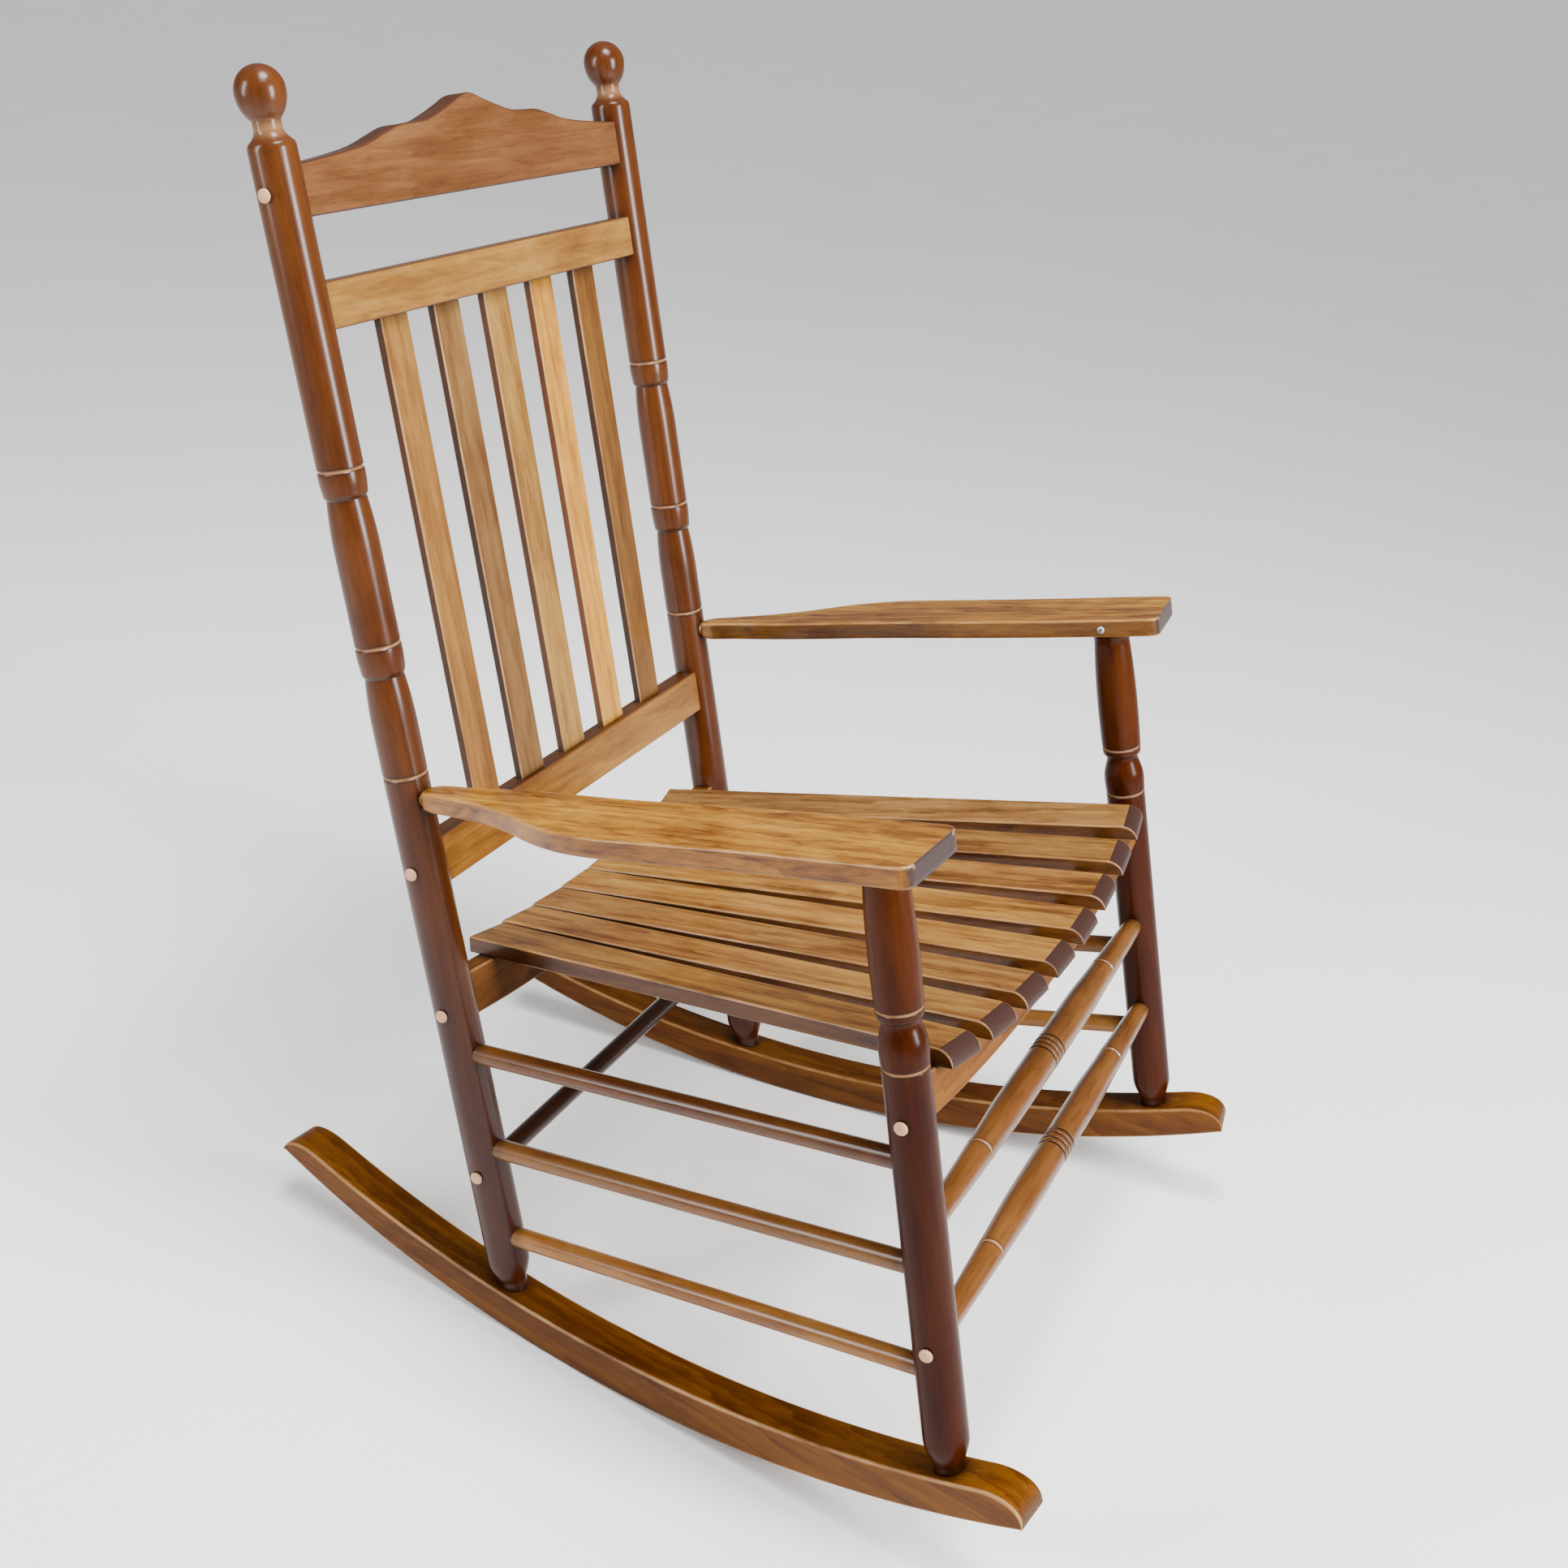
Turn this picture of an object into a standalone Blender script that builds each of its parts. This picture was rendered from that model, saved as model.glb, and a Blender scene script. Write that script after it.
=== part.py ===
"""A slat-seat rocking chair with turned posts. Metres, +Z up, the chair faces -Y, X = 0 is its middle.

Every wooden piece is its own object. Tenons sit in sockets that are cut with a slightly larger copy of the
same tenon, so a socket always follows the piece that goes into it.
"""

import math

import bmesh
import bpy
from mathutils import Matrix, Vector

# ---- fits
FIT = 0.0003                      # gap left between two pieces that touch
SOCKET_FLOOR = 0.003              # sockets stop this far short of a post's axis

# ---- side frames: where each post's axis meets the top of its rocker, and how the post leans
BACK_FOOT = Vector((0.2378, 0.0732, 0.0373))
FRONT_FOOT = Vector((0.2960, -0.3726, 0.1022))
BACK_LEAN = math.radians(15.39)
FRONT_LEAN = math.radians(14.84)
BACK_SPLAY = math.radians(0.88)
FRONT_SPLAY = math.radians(-1.51)

# ---- posts, with stations measured along the axis from the foot
POST_RADIUS = 0.019
FOOT_RADIUS = 0.0127
FOOT_STRAIGHT = 0.0065            # straight up to here, so the sloping rocker clears the taper
FOOT_TAPER = 0.030
FOOT_TENON = 0.020
GROOVE_DEPTH = 0.0014
GROOVE_HALF_WIDTH = 0.0017
BACK_GROOVE_LOW = 0.5026
BACK_WAISTS = ((0.5905, 0.6168), (0.7415, 0.7649))   # waist, then the groove above its band
BACK_WAIST_RADIUS = 0.0163
FINIAL_SHOULDER = 1.0190
FINIAL_NECK = 1.0304
FINIAL_NECK_RADIUS = 0.0112
FINIAL_CENTRE = 1.0572
FINIAL_RADIUS = 0.0201
FRONT_GROOVE_LOW = 0.3549
FRONT_GROOVE_HIGH = 0.4031
FRONT_WAIST = 0.3870
FRONT_WAIST_RADIUS = 0.0150
VASE_RADIUS = 0.0196
ARM_STATION_FRONT = 0.5240        # the arm's underside on the front post
ARM_TENON_RADIUS = 0.0100
ARM_TENON_LENGTH = 0.0100

# ---- rockers
ROCKER_WIDTH = 0.038
ROCKER_RADIUS = 1.078
ROCKER_TOP_RADIUS = 1.207
ROCKER_LOW_Y = 0.0                # the arc touches the floor here
ROCKER_BACK_OVERHANG = 0.278
ROCKER_FRONT_OVERHANG = 0.075
ROCKER_TIP_LENGTH = 0.045
ROCKER_FACET = 0.044

# ---- arms
ARM_THICKNESS = 0.0175
ARM_STATION_BACK = 0.4812         # the arm's mid-thickness on the back post
ARM_FRONT_OVERHANG = 0.051        # ahead of the front post's axis
ARM_CORNER = 0.010
ARM_END_RADIUS = 0.0082
# distance ahead of the back post's axis, reach towards the seat, reach away from it, from the post-to-post line
ARM_OUTLINE = (
    (0.034, 0.0118, 0.0122),
    (0.060, 0.0125, 0.0160),
    (0.095, 0.0160, 0.0222),
    (0.130, 0.0175, 0.0335),
    (0.165, 0.0180, 0.0490),
    (0.200, 0.0180, 0.0590),
    (0.235, 0.0190, 0.0620),
    (0.290, 0.0220, 0.0600),
    (0.380, 0.0260, 0.0570),
)
ARM_FRONT_INNER = 0.0265
ARM_FRONT_OUTER = 0.0570

# ---- back rails and slats, with stations along the back posts
CREST_BOTTOM = 0.9605
CREST_THICKNESS = 0.022
# half of the scrolled top edge: distance from the middle, station
CREST_EDGE = (
    (0.000, 1.0417),
    (0.010, 1.0402),
    (0.020, 1.0366),
    (0.032, 1.0326),
    (0.045, 1.0286),
    (0.065, 1.0236),
    (0.085, 1.0223),
    (0.105, 1.0216),
    (0.125, 1.0168),
    (0.145, 1.0114),
    (0.165, 1.0080),
    (0.205, 1.0039),
)
CREST_END = 1.0020
UPPER_RAIL = (0.8725, 0.9105)
LOWER_RAIL = (0.3965, 0.4390)
BACK_RAIL_THICKNESS = 0.022
BACK_SLATS = 5
BACK_SLAT_PITCH_TOP = 0.0747
BACK_SLAT_PITCH_BOTTOM = 0.0727
BACK_SLAT_WIDTH = 0.037
BACK_SLAT_THICKNESS = 0.008
BACK_SLAT_TENON = 0.012

# ---- seat: two sawn rails carry slats that fan out towards the front over a shallow dish
SEAT_SLATS = 8
SEAT_SLAT_WIDTH = 0.0455
SEAT_SLAT_THICKNESS = 0.0150
SEAT_PITCH_FRONT = 0.0664
SEAT_PITCH_BACK = 0.0478
SEAT_DISH = 0.31                  # rise per metre of half-width squared
SEAT_NOSE = 0.014                 # length of the rounded front end of a slat
SEAT_OVERHANG_FRONT = 0.0285      # outermost slats, ahead of the front rail's middle
SEAT_OVERHANG_BACK = 0.0140
SEAT_BOW_FRONT = 0.0125           # how far the middle slats reach past the outermost
SEAT_BOW_BACK = -0.005
SEAT_RAIL_THICKNESS = 0.022
SEAT_RAIL_BOTTOM_DISH = 0.29
FRONT_RAIL_TOP = 0.3190           # stations in the middle of the rail
FRONT_RAIL_BOTTOM = 0.2817
REAR_RAIL_TOP = 0.2957
REAR_RAIL_BOTTOM = 0.2545

# ---- rungs
SIDE_RUNG_RADIUS = 0.009
SIDE_RUNGS = (("upper", 0.2405, 0.2721), ("middle", 0.1448, 0.1812), ("lower", 0.0539, 0.0891))
STRETCHER_STATION = 0.1225
FRONT_RUNGS = (("upper", 0.2120), ("lower", 0.1165))
RUNG_RADIUS = 0.0143
RUNG_END_RADIUS = 0.0088
RUNG_RING = 0.170                 # ring grooves, from the middle
RUNG_RING_RADIUS = 0.0122
BEAD_PITCH = 0.0075

# ---- screws that draw the rails into the posts, under button plugs
SCREW_RADIUS = 0.0020
SCREW_HEAD_RADIUS = 0.0042
SCREW_HEAD_LENGTH = 0.0030
SCREW_REACH = 0.024               # past the post's axis
PLUG_STEM_RADIUS = 0.0046
PLUG_HEAD_RADIUS = 0.0057
PLUG_HEAD_HEIGHT = 0.0034
COUNTERBORE_DEPTH = 0.0070

POST_SEGMENTS = 16
RUNG_SEGMENTS = 12
SCREW_SEGMENTS = 10

SIDES = (("left", 1.0), ("right", -1.0))


# ---------------------------------------------------------------- materials

def wood(name, colour, roughness):
    material = bpy.data.materials.new(name)
    material.use_nodes = True
    shader = material.node_tree.nodes["Principled BSDF"]
    shader.inputs["Base Color"].default_value = (*colour, 1.0)
    shader.inputs["Roughness"].default_value = roughness
    shader.inputs["Metallic"].default_value = 0.0
    return material


def steel(name):
    material = wood(name, (0.55, 0.55, 0.56), 0.35)
    material.node_tree.nodes["Principled BSDF"].inputs["Metallic"].default_value = 1.0
    return material


# ---------------------------------------------------------------- meshes and objects

def finished(name, bm, material, matrix=None, cutter=False):
    """Turn a bmesh into an object with outward faces, placed by matrix."""
    bmesh.ops.recalc_face_normals(bm, faces=bm.faces)
    mesh = bpy.data.meshes.new(name)
    bm.to_mesh(mesh)
    bm.free()
    mesh.shade_smooth()
    mesh.set_sharp_from_angle(angle=math.radians(35.0))
    obj = bpy.data.objects.new(name, mesh)
    bpy.context.scene.collection.objects.link(obj)
    if matrix is not None:
        obj.matrix_world = matrix
    if cutter:
        obj.hide_render = True
        obj.display_type = "WIRE"
    else:
        mesh.materials.append(material)
    return obj


def cut(obj, cutter):
    """Subtract the cutter from the object."""
    boolean = obj.modifiers.new("cut_" + cutter.name, "BOOLEAN")
    boolean.operation = "DIFFERENCE"
    boolean.solver = "EXACT"
    boolean.object = cutter


def lathe(profile, segments):
    """Revolve (z, radius) points about Z, with a flat facet facing +X; a radius of 0 closes to a point."""
    bm = bmesh.new()
    rings = []
    for z, radius in profile:
        if radius == 0.0:
            rings.append([bm.verts.new((0.0, 0.0, z))])
            continue
        ring = []
        for i in range(segments):
            angle = 2.0 * math.pi * (i + 0.5) / segments
            ring.append(bm.verts.new((radius * math.cos(angle), radius * math.sin(angle), z)))
        rings.append(ring)
    for low, high in zip(rings, rings[1:]):
        for i in range(segments):
            j = (i + 1) % segments
            if len(high) == 1:
                bm.faces.new((low[i], low[j], high[0]))
            elif len(low) == 1:
                bm.faces.new((low[0], high[j], high[i]))
            else:
                bm.faces.new((low[i], low[j], high[j], high[i]))
    for ring in (rings[0], rings[-1]):
        if len(ring) > 1:
            bm.faces.new(ring)
    return bm


def loft(sections):
    """Join closed sections of equal length into one body, with flat ends."""
    bm = bmesh.new()
    rings = [[bm.verts.new(point) for point in section] for section in sections]
    count = len(rings[0])
    for low, high in zip(rings, rings[1:]):
        for i in range(count):
            j = (i + 1) % count
            bm.faces.new((low[i], low[j], high[j], high[i]))
    bm.faces.new(rings[0])
    bm.faces.new(rings[-1])
    return bm


def along(direction, origin=Vector((0.0, 0.0, 0.0))):
    """A frame whose Z runs along direction and whose X stays as near as it can to the chair's X."""
    z_axis = direction.normalized()
    sideways = Vector((1.0, 0.0, 0.0))
    if abs(z_axis.x) > 0.9:
        sideways = Vector((0.0, 1.0, 0.0))
    x_axis = (sideways - z_axis * sideways.dot(z_axis)).normalized()
    y_axis = z_axis.cross(x_axis)
    frame = Matrix((x_axis, y_axis, z_axis)).transposed().to_4x4()
    frame.translation = origin
    return frame


# ---------------------------------------------------------------- where things are

def post_direction(lean, splay):
    return Vector((math.tan(splay), math.tan(lean), 1.0)).normalized()


BACK_DIRECTION = post_direction(BACK_LEAN, BACK_SPLAY)
FRONT_DIRECTION = post_direction(FRONT_LEAN, FRONT_SPLAY)


def mirrored(point, side):
    return Vector((point.x * side, point.y, point.z))


def on_back_post(station, side=1.0):
    return mirrored(BACK_FOOT + BACK_DIRECTION * station, side)


def on_front_post(station, side=1.0):
    return mirrored(FRONT_FOOT + FRONT_DIRECTION * station, side)


def rail_frame(lean, foot):
    """The leaning frame shared by the rails between two posts: X across, Y to the rear, Z up the posts."""
    z_axis = Vector((0.0, math.sin(lean), math.cos(lean)))
    y_axis = Vector((0.0, math.cos(lean), -math.sin(lean)))
    frame = Matrix((Vector((1.0, 0.0, 0.0)), y_axis, z_axis)).transposed().to_4x4()
    frame.translation = Vector((0.0, foot.y, foot.z))
    return frame


BACK_FRAME = rail_frame(BACK_LEAN, BACK_FOOT)
FRONT_FRAME = rail_frame(FRONT_LEAN, FRONT_FOOT)


def half_gauge(foot, splay, lean, station):
    """Half the distance between two posts' axes at a height in their leaning frame."""
    return foot.x + math.tan(splay) * station * math.cos(lean)


def back_reach(station):
    return half_gauge(BACK_FOOT, BACK_SPLAY, BACK_LEAN, station) - SOCKET_FLOOR


def front_reach(station):
    return half_gauge(FRONT_FOOT, FRONT_SPLAY, FRONT_LEAN, station) - SOCKET_FLOOR


def smooth(points, x):
    """A rounded curve through (x, y) points, level at the first."""
    if x <= points[0][0]:
        return points[0][1]
    for k in range(len(points) - 1):
        (x0, y0), (x1, y1) = points[k], points[k + 1]
        if x <= x1:
            before = (2.0 * x0 - x1, y1) if k == 0 else points[k - 1]
            after = points[min(k + 2, len(points) - 1)]
            slope0 = (y1 - before[1]) / (x1 - before[0])
            slope1 = (after[1] - y0) / (after[0] - x0)
            u = (x - x0) / (x1 - x0)
            width = x1 - x0
            return (
                (2 * u**3 - 3 * u**2 + 1) * y0 + (u**3 - 2 * u**2 + u) * width * slope0
                + (3 * u**2 - 2 * u**3) * y1 + (u**3 - u**2) * width * slope1
            )
    return points[-1][1]


# ---------------------------------------------------------------- turned posts

def groove(station, radius=POST_RADIUS):
    return [
        (station - GROOVE_HALF_WIDTH, radius),
        (station, radius - GROOVE_DEPTH),
        (station + GROOVE_HALF_WIDTH, radius),
    ]


def foot_profile(grow=0.0):
    return [(-FOOT_TENON - grow, FOOT_RADIUS + grow), (FOOT_STRAIGHT, FOOT_RADIUS + grow)]


def back_post_profile():
    profile = foot_profile()
    profile.append((FOOT_TAPER, POST_RADIUS))
    profile += groove(BACK_GROOVE_LOW)
    for waist, ring in BACK_WAISTS:
        profile.append((waist - 0.045, POST_RADIUS))
        profile.append((waist - 0.022, POST_RADIUS - 0.0008))
        profile.append((waist, BACK_WAIST_RADIUS))
        profile.append((waist + 0.005, POST_RADIUS - 0.0007))
        profile.append((waist + 0.012, POST_RADIUS + 0.0003))
        profile += groove(ring)
    profile.append((FINIAL_SHOULDER - 0.005, POST_RADIUS))
    profile.append((FINIAL_SHOULDER, POST_RADIUS - 0.0010))
    profile.append((FINIAL_SHOULDER + 0.0045, 0.5 * (POST_RADIUS + FINIAL_NECK_RADIUS) - 0.0008))
    profile.append((FINIAL_NECK, FINIAL_NECK_RADIUS))
    lower_half = (FINIAL_CENTRE - FINIAL_NECK) * 1.01
    for degrees in (-54.0, -36.0, -18.0, 0.0, 22.0, 45.0, 68.0):
        angle = math.radians(degrees)
        height = lower_half if degrees < 0.0 else FINIAL_RADIUS * 1.02
        profile.append((FINIAL_CENTRE + height * math.sin(angle), FINIAL_RADIUS * math.cos(angle)))
    profile.append((FINIAL_CENTRE + FINIAL_RADIUS * 1.02, 0.0))
    return profile


def arm_tenon_profile(grow=0.0):
    return [
        (ARM_STATION_FRONT - 0.001, ARM_TENON_RADIUS + grow),
        (ARM_STATION_FRONT + ARM_TENON_LENGTH + grow, ARM_TENON_RADIUS + grow),
    ]


def front_post_profile():
    shoulder = ARM_STATION_FRONT - 0.0009
    vase = ARM_STATION_FRONT - FRONT_GROOVE_HIGH
    profile = foot_profile()
    profile.append((FOOT_TAPER, POST_RADIUS))
    profile += groove(FRONT_GROOVE_LOW)
    profile.append((0.5 * (FRONT_GROOVE_LOW + FRONT_WAIST) - 0.001, VASE_RADIUS))
    profile.append((FRONT_WAIST - 0.005, 0.5 * (VASE_RADIUS + FRONT_WAIST_RADIUS) + 0.0005))
    profile.append((FRONT_WAIST, FRONT_WAIST_RADIUS))
    profile.append((FRONT_WAIST + 0.005, POST_RADIUS - 0.0007))
    profile += groove(FRONT_GROOVE_HIGH)
    profile.append((FRONT_GROOVE_HIGH + 0.32 * vase, VASE_RADIUS))
    profile.append((FRONT_GROOVE_HIGH + 0.60 * vase, POST_RADIUS - 0.0001))
    profile.append((FRONT_GROOVE_HIGH + 0.88 * vase, POST_RADIUS - 0.0018))
    profile.append((shoulder, POST_RADIUS - 0.0003))
    profile.append((shoulder, ARM_TENON_RADIUS))
    profile.append(arm_tenon_profile()[-1])
    return profile


# ---------------------------------------------------------------- rungs

def rung(name, start, end, profile, material, cutter=False):
    """A turned piece whose (z, radius) profile is centred on the middle of start-end."""
    return finished(name, lathe(profile, RUNG_SEGMENTS), material, along(end - start, (start + end) * 0.5), cutter)


def plain_profile(length, radius, grow=0.0):
    half = 0.5 * length + grow
    return [(-half, radius + grow), (half, radius + grow)]


def turned_rung_profile(length):
    half = 0.5 * length
    side = [(1.5 * BEAD_PITCH + 0.0015, RUNG_RADIUS - 0.0003), (RUNG_RING - 0.06, RUNG_RADIUS - 0.0003)]
    side += groove(RUNG_RING, RUNG_RING_RADIUS)
    side.append((half, RUNG_END_RADIUS))
    beads = []
    for k in (-1, 0, 1):
        beads.append(((k - 0.5) * BEAD_PITCH, RUNG_RADIUS - 0.0022))
        beads.append(((k - 0.22) * BEAD_PITCH, RUNG_RADIUS))
        beads.append(((k + 0.22) * BEAD_PITCH, RUNG_RADIUS))
    beads.append((1.5 * BEAD_PITCH, RUNG_RADIUS - 0.0022))
    return [(-z, radius) for z, radius in reversed(side)] + beads + side


# ---------------------------------------------------------------- rails between the posts

def rail(name, bottom, edge, thickness, frame, material, grow=0.0):
    """A sawn rail. edge lists, along X, the (x, height) of its top on the front face and on the rear face."""
    half = 0.5 * thickness + grow
    sections = []
    for i, ((front_x, front_z), (rear_x, rear_z)) in enumerate(edge):
        shift = grow * ((i == len(edge) - 1) - (i == 0))
        sections.append([
            (front_x + shift, -half, bottom(front_x) - grow),
            (rear_x + shift, half, bottom(rear_x) - grow),
            (rear_x + shift, half, rear_z + grow),
            (front_x + shift, -half, front_z + grow),
        ])
    return finished(name, loft(sections), material, frame, cutter=grow > 0.0)


def square_edge(top, xs, reach):
    """A top edge that is level from the front face to the rear face."""
    places = [-reach] + [x for x in xs if -reach < x < reach] + [reach]
    return [((x, top(x)), (x, top(x))) for x in places]


def crest_top(x):
    edge = CREST_EDGE + ((back_reach(CREST_END) - 0.014, CREST_END), (back_reach(CREST_END) + 0.05, CREST_END))
    return smooth(edge, abs(x))


def even(values_from, values_to, count):
    return [values_from + (values_to - values_from) * i / count for i in range(count + 1)]


# ---------------------------------------------------------------- seat

class SeatSlat:
    """One seat slat: its underside's middle line and the directions across and out of its underside."""

    def __init__(self, index):
        self.place = index - 0.5 * (SEAT_SLATS - 1)
        outermost = 0.5 * (SEAT_SLATS - 1)
        middle = 1.0 - (self.place / outermost) ** 2
        front = self.point_on(FRONT_FRAME, FRONT_RAIL_TOP, SEAT_PITCH_FRONT)
        back = self.point_on(BACK_FRAME, REAR_RAIL_TOP, SEAT_PITCH_BACK)
        self.run = (front - back).normalized()
        slope = SEAT_DISH * self.place * (SEAT_PITCH_FRONT + SEAT_PITCH_BACK)
        across = FRONT_FRAME.to_3x3() @ Vector((1.0, 0.0, slope))
        self.across = (across - self.run * across.dot(self.run)).normalized()
        self.up = self.across.cross(-self.run).normalized()
        self.front = front + self.run * (SEAT_OVERHANG_FRONT + SEAT_BOW_FRONT * middle)
        self.back = back - self.run * (SEAT_OVERHANG_BACK + SEAT_BOW_BACK * middle)

    def point_on(self, frame, height, pitch):
        x = self.place * pitch
        return frame @ Vector((x, 0.0, height + FIT + SEAT_DISH * x * x))

    def rail_edges(self, frame, depth):
        """Where the slat's two long edges cross a rail's face at y = depth, as (x, height) in the rail's frame."""
        inverse = frame.inverted()
        crossings = []
        for hand in (-1.0, 1.0):
            edge = self.across * (hand * 0.5 * SEAT_SLAT_WIDTH)
            start = inverse @ (self.back + edge)
            end = inverse @ (self.front + edge)
            share = (start.y - depth) / (start.y - end.y)
            point = start.lerp(end, share)
            crossings.append((point.x, point.z - FIT))
        return crossings

    def section(self, distance, low, high):
        """A rectangle across the slat at a distance from its back end."""
        half = 0.5 * SEAT_SLAT_WIDTH
        middle = self.back + self.run * distance
        corners = ((-half, low), (half, low), (half, high), (-half, high))
        return [middle + self.across * x + self.up * z for x, z in corners]

    def build(self, material):
        length = (self.front - self.back).length
        sections = [self.section(0.0, 0.0, SEAT_SLAT_THICKNESS)]
        for degrees in (0.0, 22.5, 45.0, 67.5, 86.0):
            angle = math.radians(degrees)
            distance = length - SEAT_NOSE * (1.0 - math.sin(angle))
            sections.append(self.section(distance, 0.0, SEAT_SLAT_THICKNESS * math.cos(angle)))
        number = int(self.place + 0.5 * SEAT_SLATS + 0.5)
        return finished("seat_slat_%d" % number, loft(sections), material)


def seat_rail(name, top_height, bottom_height, frame, reach_at, slats, material, grow=0.0):
    """A rail whose top edge lies one fit below the undersides of the slats, all the way through its thickness."""
    half = 0.5 * SEAT_RAIL_THICKNESS
    reach = reach_at(top_height)
    faces = []
    for depth in (-half, half):
        line = sorted(crossing for slat in slats for crossing in slat.rail_edges(frame, depth))
        last_x, last_z = line[-1]
        end_z = last_z + 2.0 * SEAT_DISH * last_x * (reach - last_x)
        faces.append([(-reach, end_z)] + line + [(reach, end_z)])

    def bottom(x):
        return bottom_height + SEAT_RAIL_BOTTOM_DISH * x * x

    return rail(name, bottom, list(zip(faces[0], faces[1])), SEAT_RAIL_THICKNESS, frame, material, grow)


# ---------------------------------------------------------------- back slats

def back_slat(name, place, material, grow=0.0):
    low = LOWER_RAIL[1] - BACK_SLAT_TENON - grow
    high = UPPER_RAIL[0] + BACK_SLAT_TENON + grow
    pitch_slope = (BACK_SLAT_PITCH_TOP - BACK_SLAT_PITCH_BOTTOM) / (UPPER_RAIL[0] - LOWER_RAIL[1])
    half_width = 0.5 * BACK_SLAT_WIDTH + grow
    half_depth = 0.5 * BACK_SLAT_THICKNESS + grow
    sections = []
    for height in (low, high):
        x = place * (BACK_SLAT_PITCH_BOTTOM + pitch_slope * (height - LOWER_RAIL[1]))
        sections.append([
            (x - half_width, -half_depth, height),
            (x + half_width, -half_depth, height),
            (x + half_width, half_depth, height),
            (x - half_width, half_depth, height),
        ])
    return finished(name, loft(sections), material, BACK_FRAME, cutter=grow > 0.0)


# ---------------------------------------------------------------- rockers

def rocker(name, side, material):
    """A plate on edge below one side frame: a rolling arc below, a flatter arc above through both feet."""
    back = mirrored(BACK_FOOT, side)
    front = mirrored(FRONT_FOOT, side)
    run = Vector((front.x - back.x, front.y - back.y, 0.0))
    length = run.length
    run.normalize()
    outward = Vector((-run.y, run.x, 0.0))
    touch = (ROCKER_LOW_Y - back.y) / run.y
    rise = front.z - back.z
    chord = math.hypot(length, rise)
    drop = math.sqrt(ROCKER_TOP_RADIUS**2 - 0.25 * chord**2)
    top_t = 0.5 * length - drop * rise / chord
    top_z = 0.5 * (back.z + front.z) + drop * length / chord

    def low_z(t):
        return ROCKER_RADIUS - math.sqrt(ROCKER_RADIUS**2 - (t - touch) ** 2)

    def high_z(t):
        return top_z - math.sqrt(ROCKER_TOP_RADIUS**2 - (t - top_t) ** 2)

    def sole_z(angle):
        return ROCKER_RADIUS * (1.0 - math.cos(angle))

    step = ROCKER_FACET / ROCKER_RADIUS
    ends = (-ROCKER_BACK_OVERHANG, length + ROCKER_FRONT_OVERHANG)
    sole = []
    first = math.ceil((ends[0] - touch) / ROCKER_FACET) - 0.5
    last = math.floor((ends[1] - touch) / ROCKER_FACET) + 0.5
    count = int(last - first)
    for i in range(count + 1):
        angle = (first + i) * step
        t = touch + ROCKER_RADIUS * math.sin(angle)
        if ends[0] + 0.006 < t < ends[1] - 0.006:
            sole.append((t, sole_z(angle)))
    outline = [(ends[0], low_z(ends[0]))] + sole + [(ends[1], low_z(ends[1]))]
    front_shoulder = ends[1] - ROCKER_TIP_LENGTH
    back_shoulder = ends[0] + ROCKER_TIP_LENGTH
    for degrees in (25.0, 50.0, 72.0):
        angle = math.radians(degrees)
        t = front_shoulder + ROCKER_TIP_LENGTH * math.cos(angle)
        outline.append((t, low_z(t) + (high_z(t) - low_z(t)) * math.sin(angle)))
    top_steps = 16
    for t in even(front_shoulder, back_shoulder, top_steps):
        outline.append((t, high_z(t)))
    for degrees in (72.0, 50.0, 25.0):
        angle = math.radians(degrees)
        t = back_shoulder - ROCKER_TIP_LENGTH * math.cos(angle)
        outline.append((t, low_z(t) + (high_z(t) - low_z(t)) * math.sin(angle)))
    origin = Vector((back.x, back.y, 0.0))
    sections = []
    for hand in (-0.5, 0.5):
        face = origin + outward * (hand * ROCKER_WIDTH)
        sections.append([face + run * t + Vector((0.0, 0.0, z)) for t, z in outline])
    return finished(name, loft(sections), material)


# ---------------------------------------------------------------- arms

def arm_sections(side, grow=0.0):
    """Sections of an arm from its round tenon in the back post to its square front, in its own plane."""
    back = on_back_post(ARM_STATION_BACK, side)
    under = on_front_post(ARM_STATION_FRONT, side)
    slope = math.atan2(under.z - back.z + 0.5 * ARM_THICKNESS, back.y - under.y)
    up = Vector((0.0, math.sin(slope), math.cos(slope)))
    over = under + up * (0.5 * ARM_THICKNESS)
    line = over - back
    line -= up * line.dot(up)
    reach = line.length
    line.normalize()
    outward = line.cross(up) * side
    if outward.x * side < 0.0:
        outward = -outward
    return back, line, up, outward, reach


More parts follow.
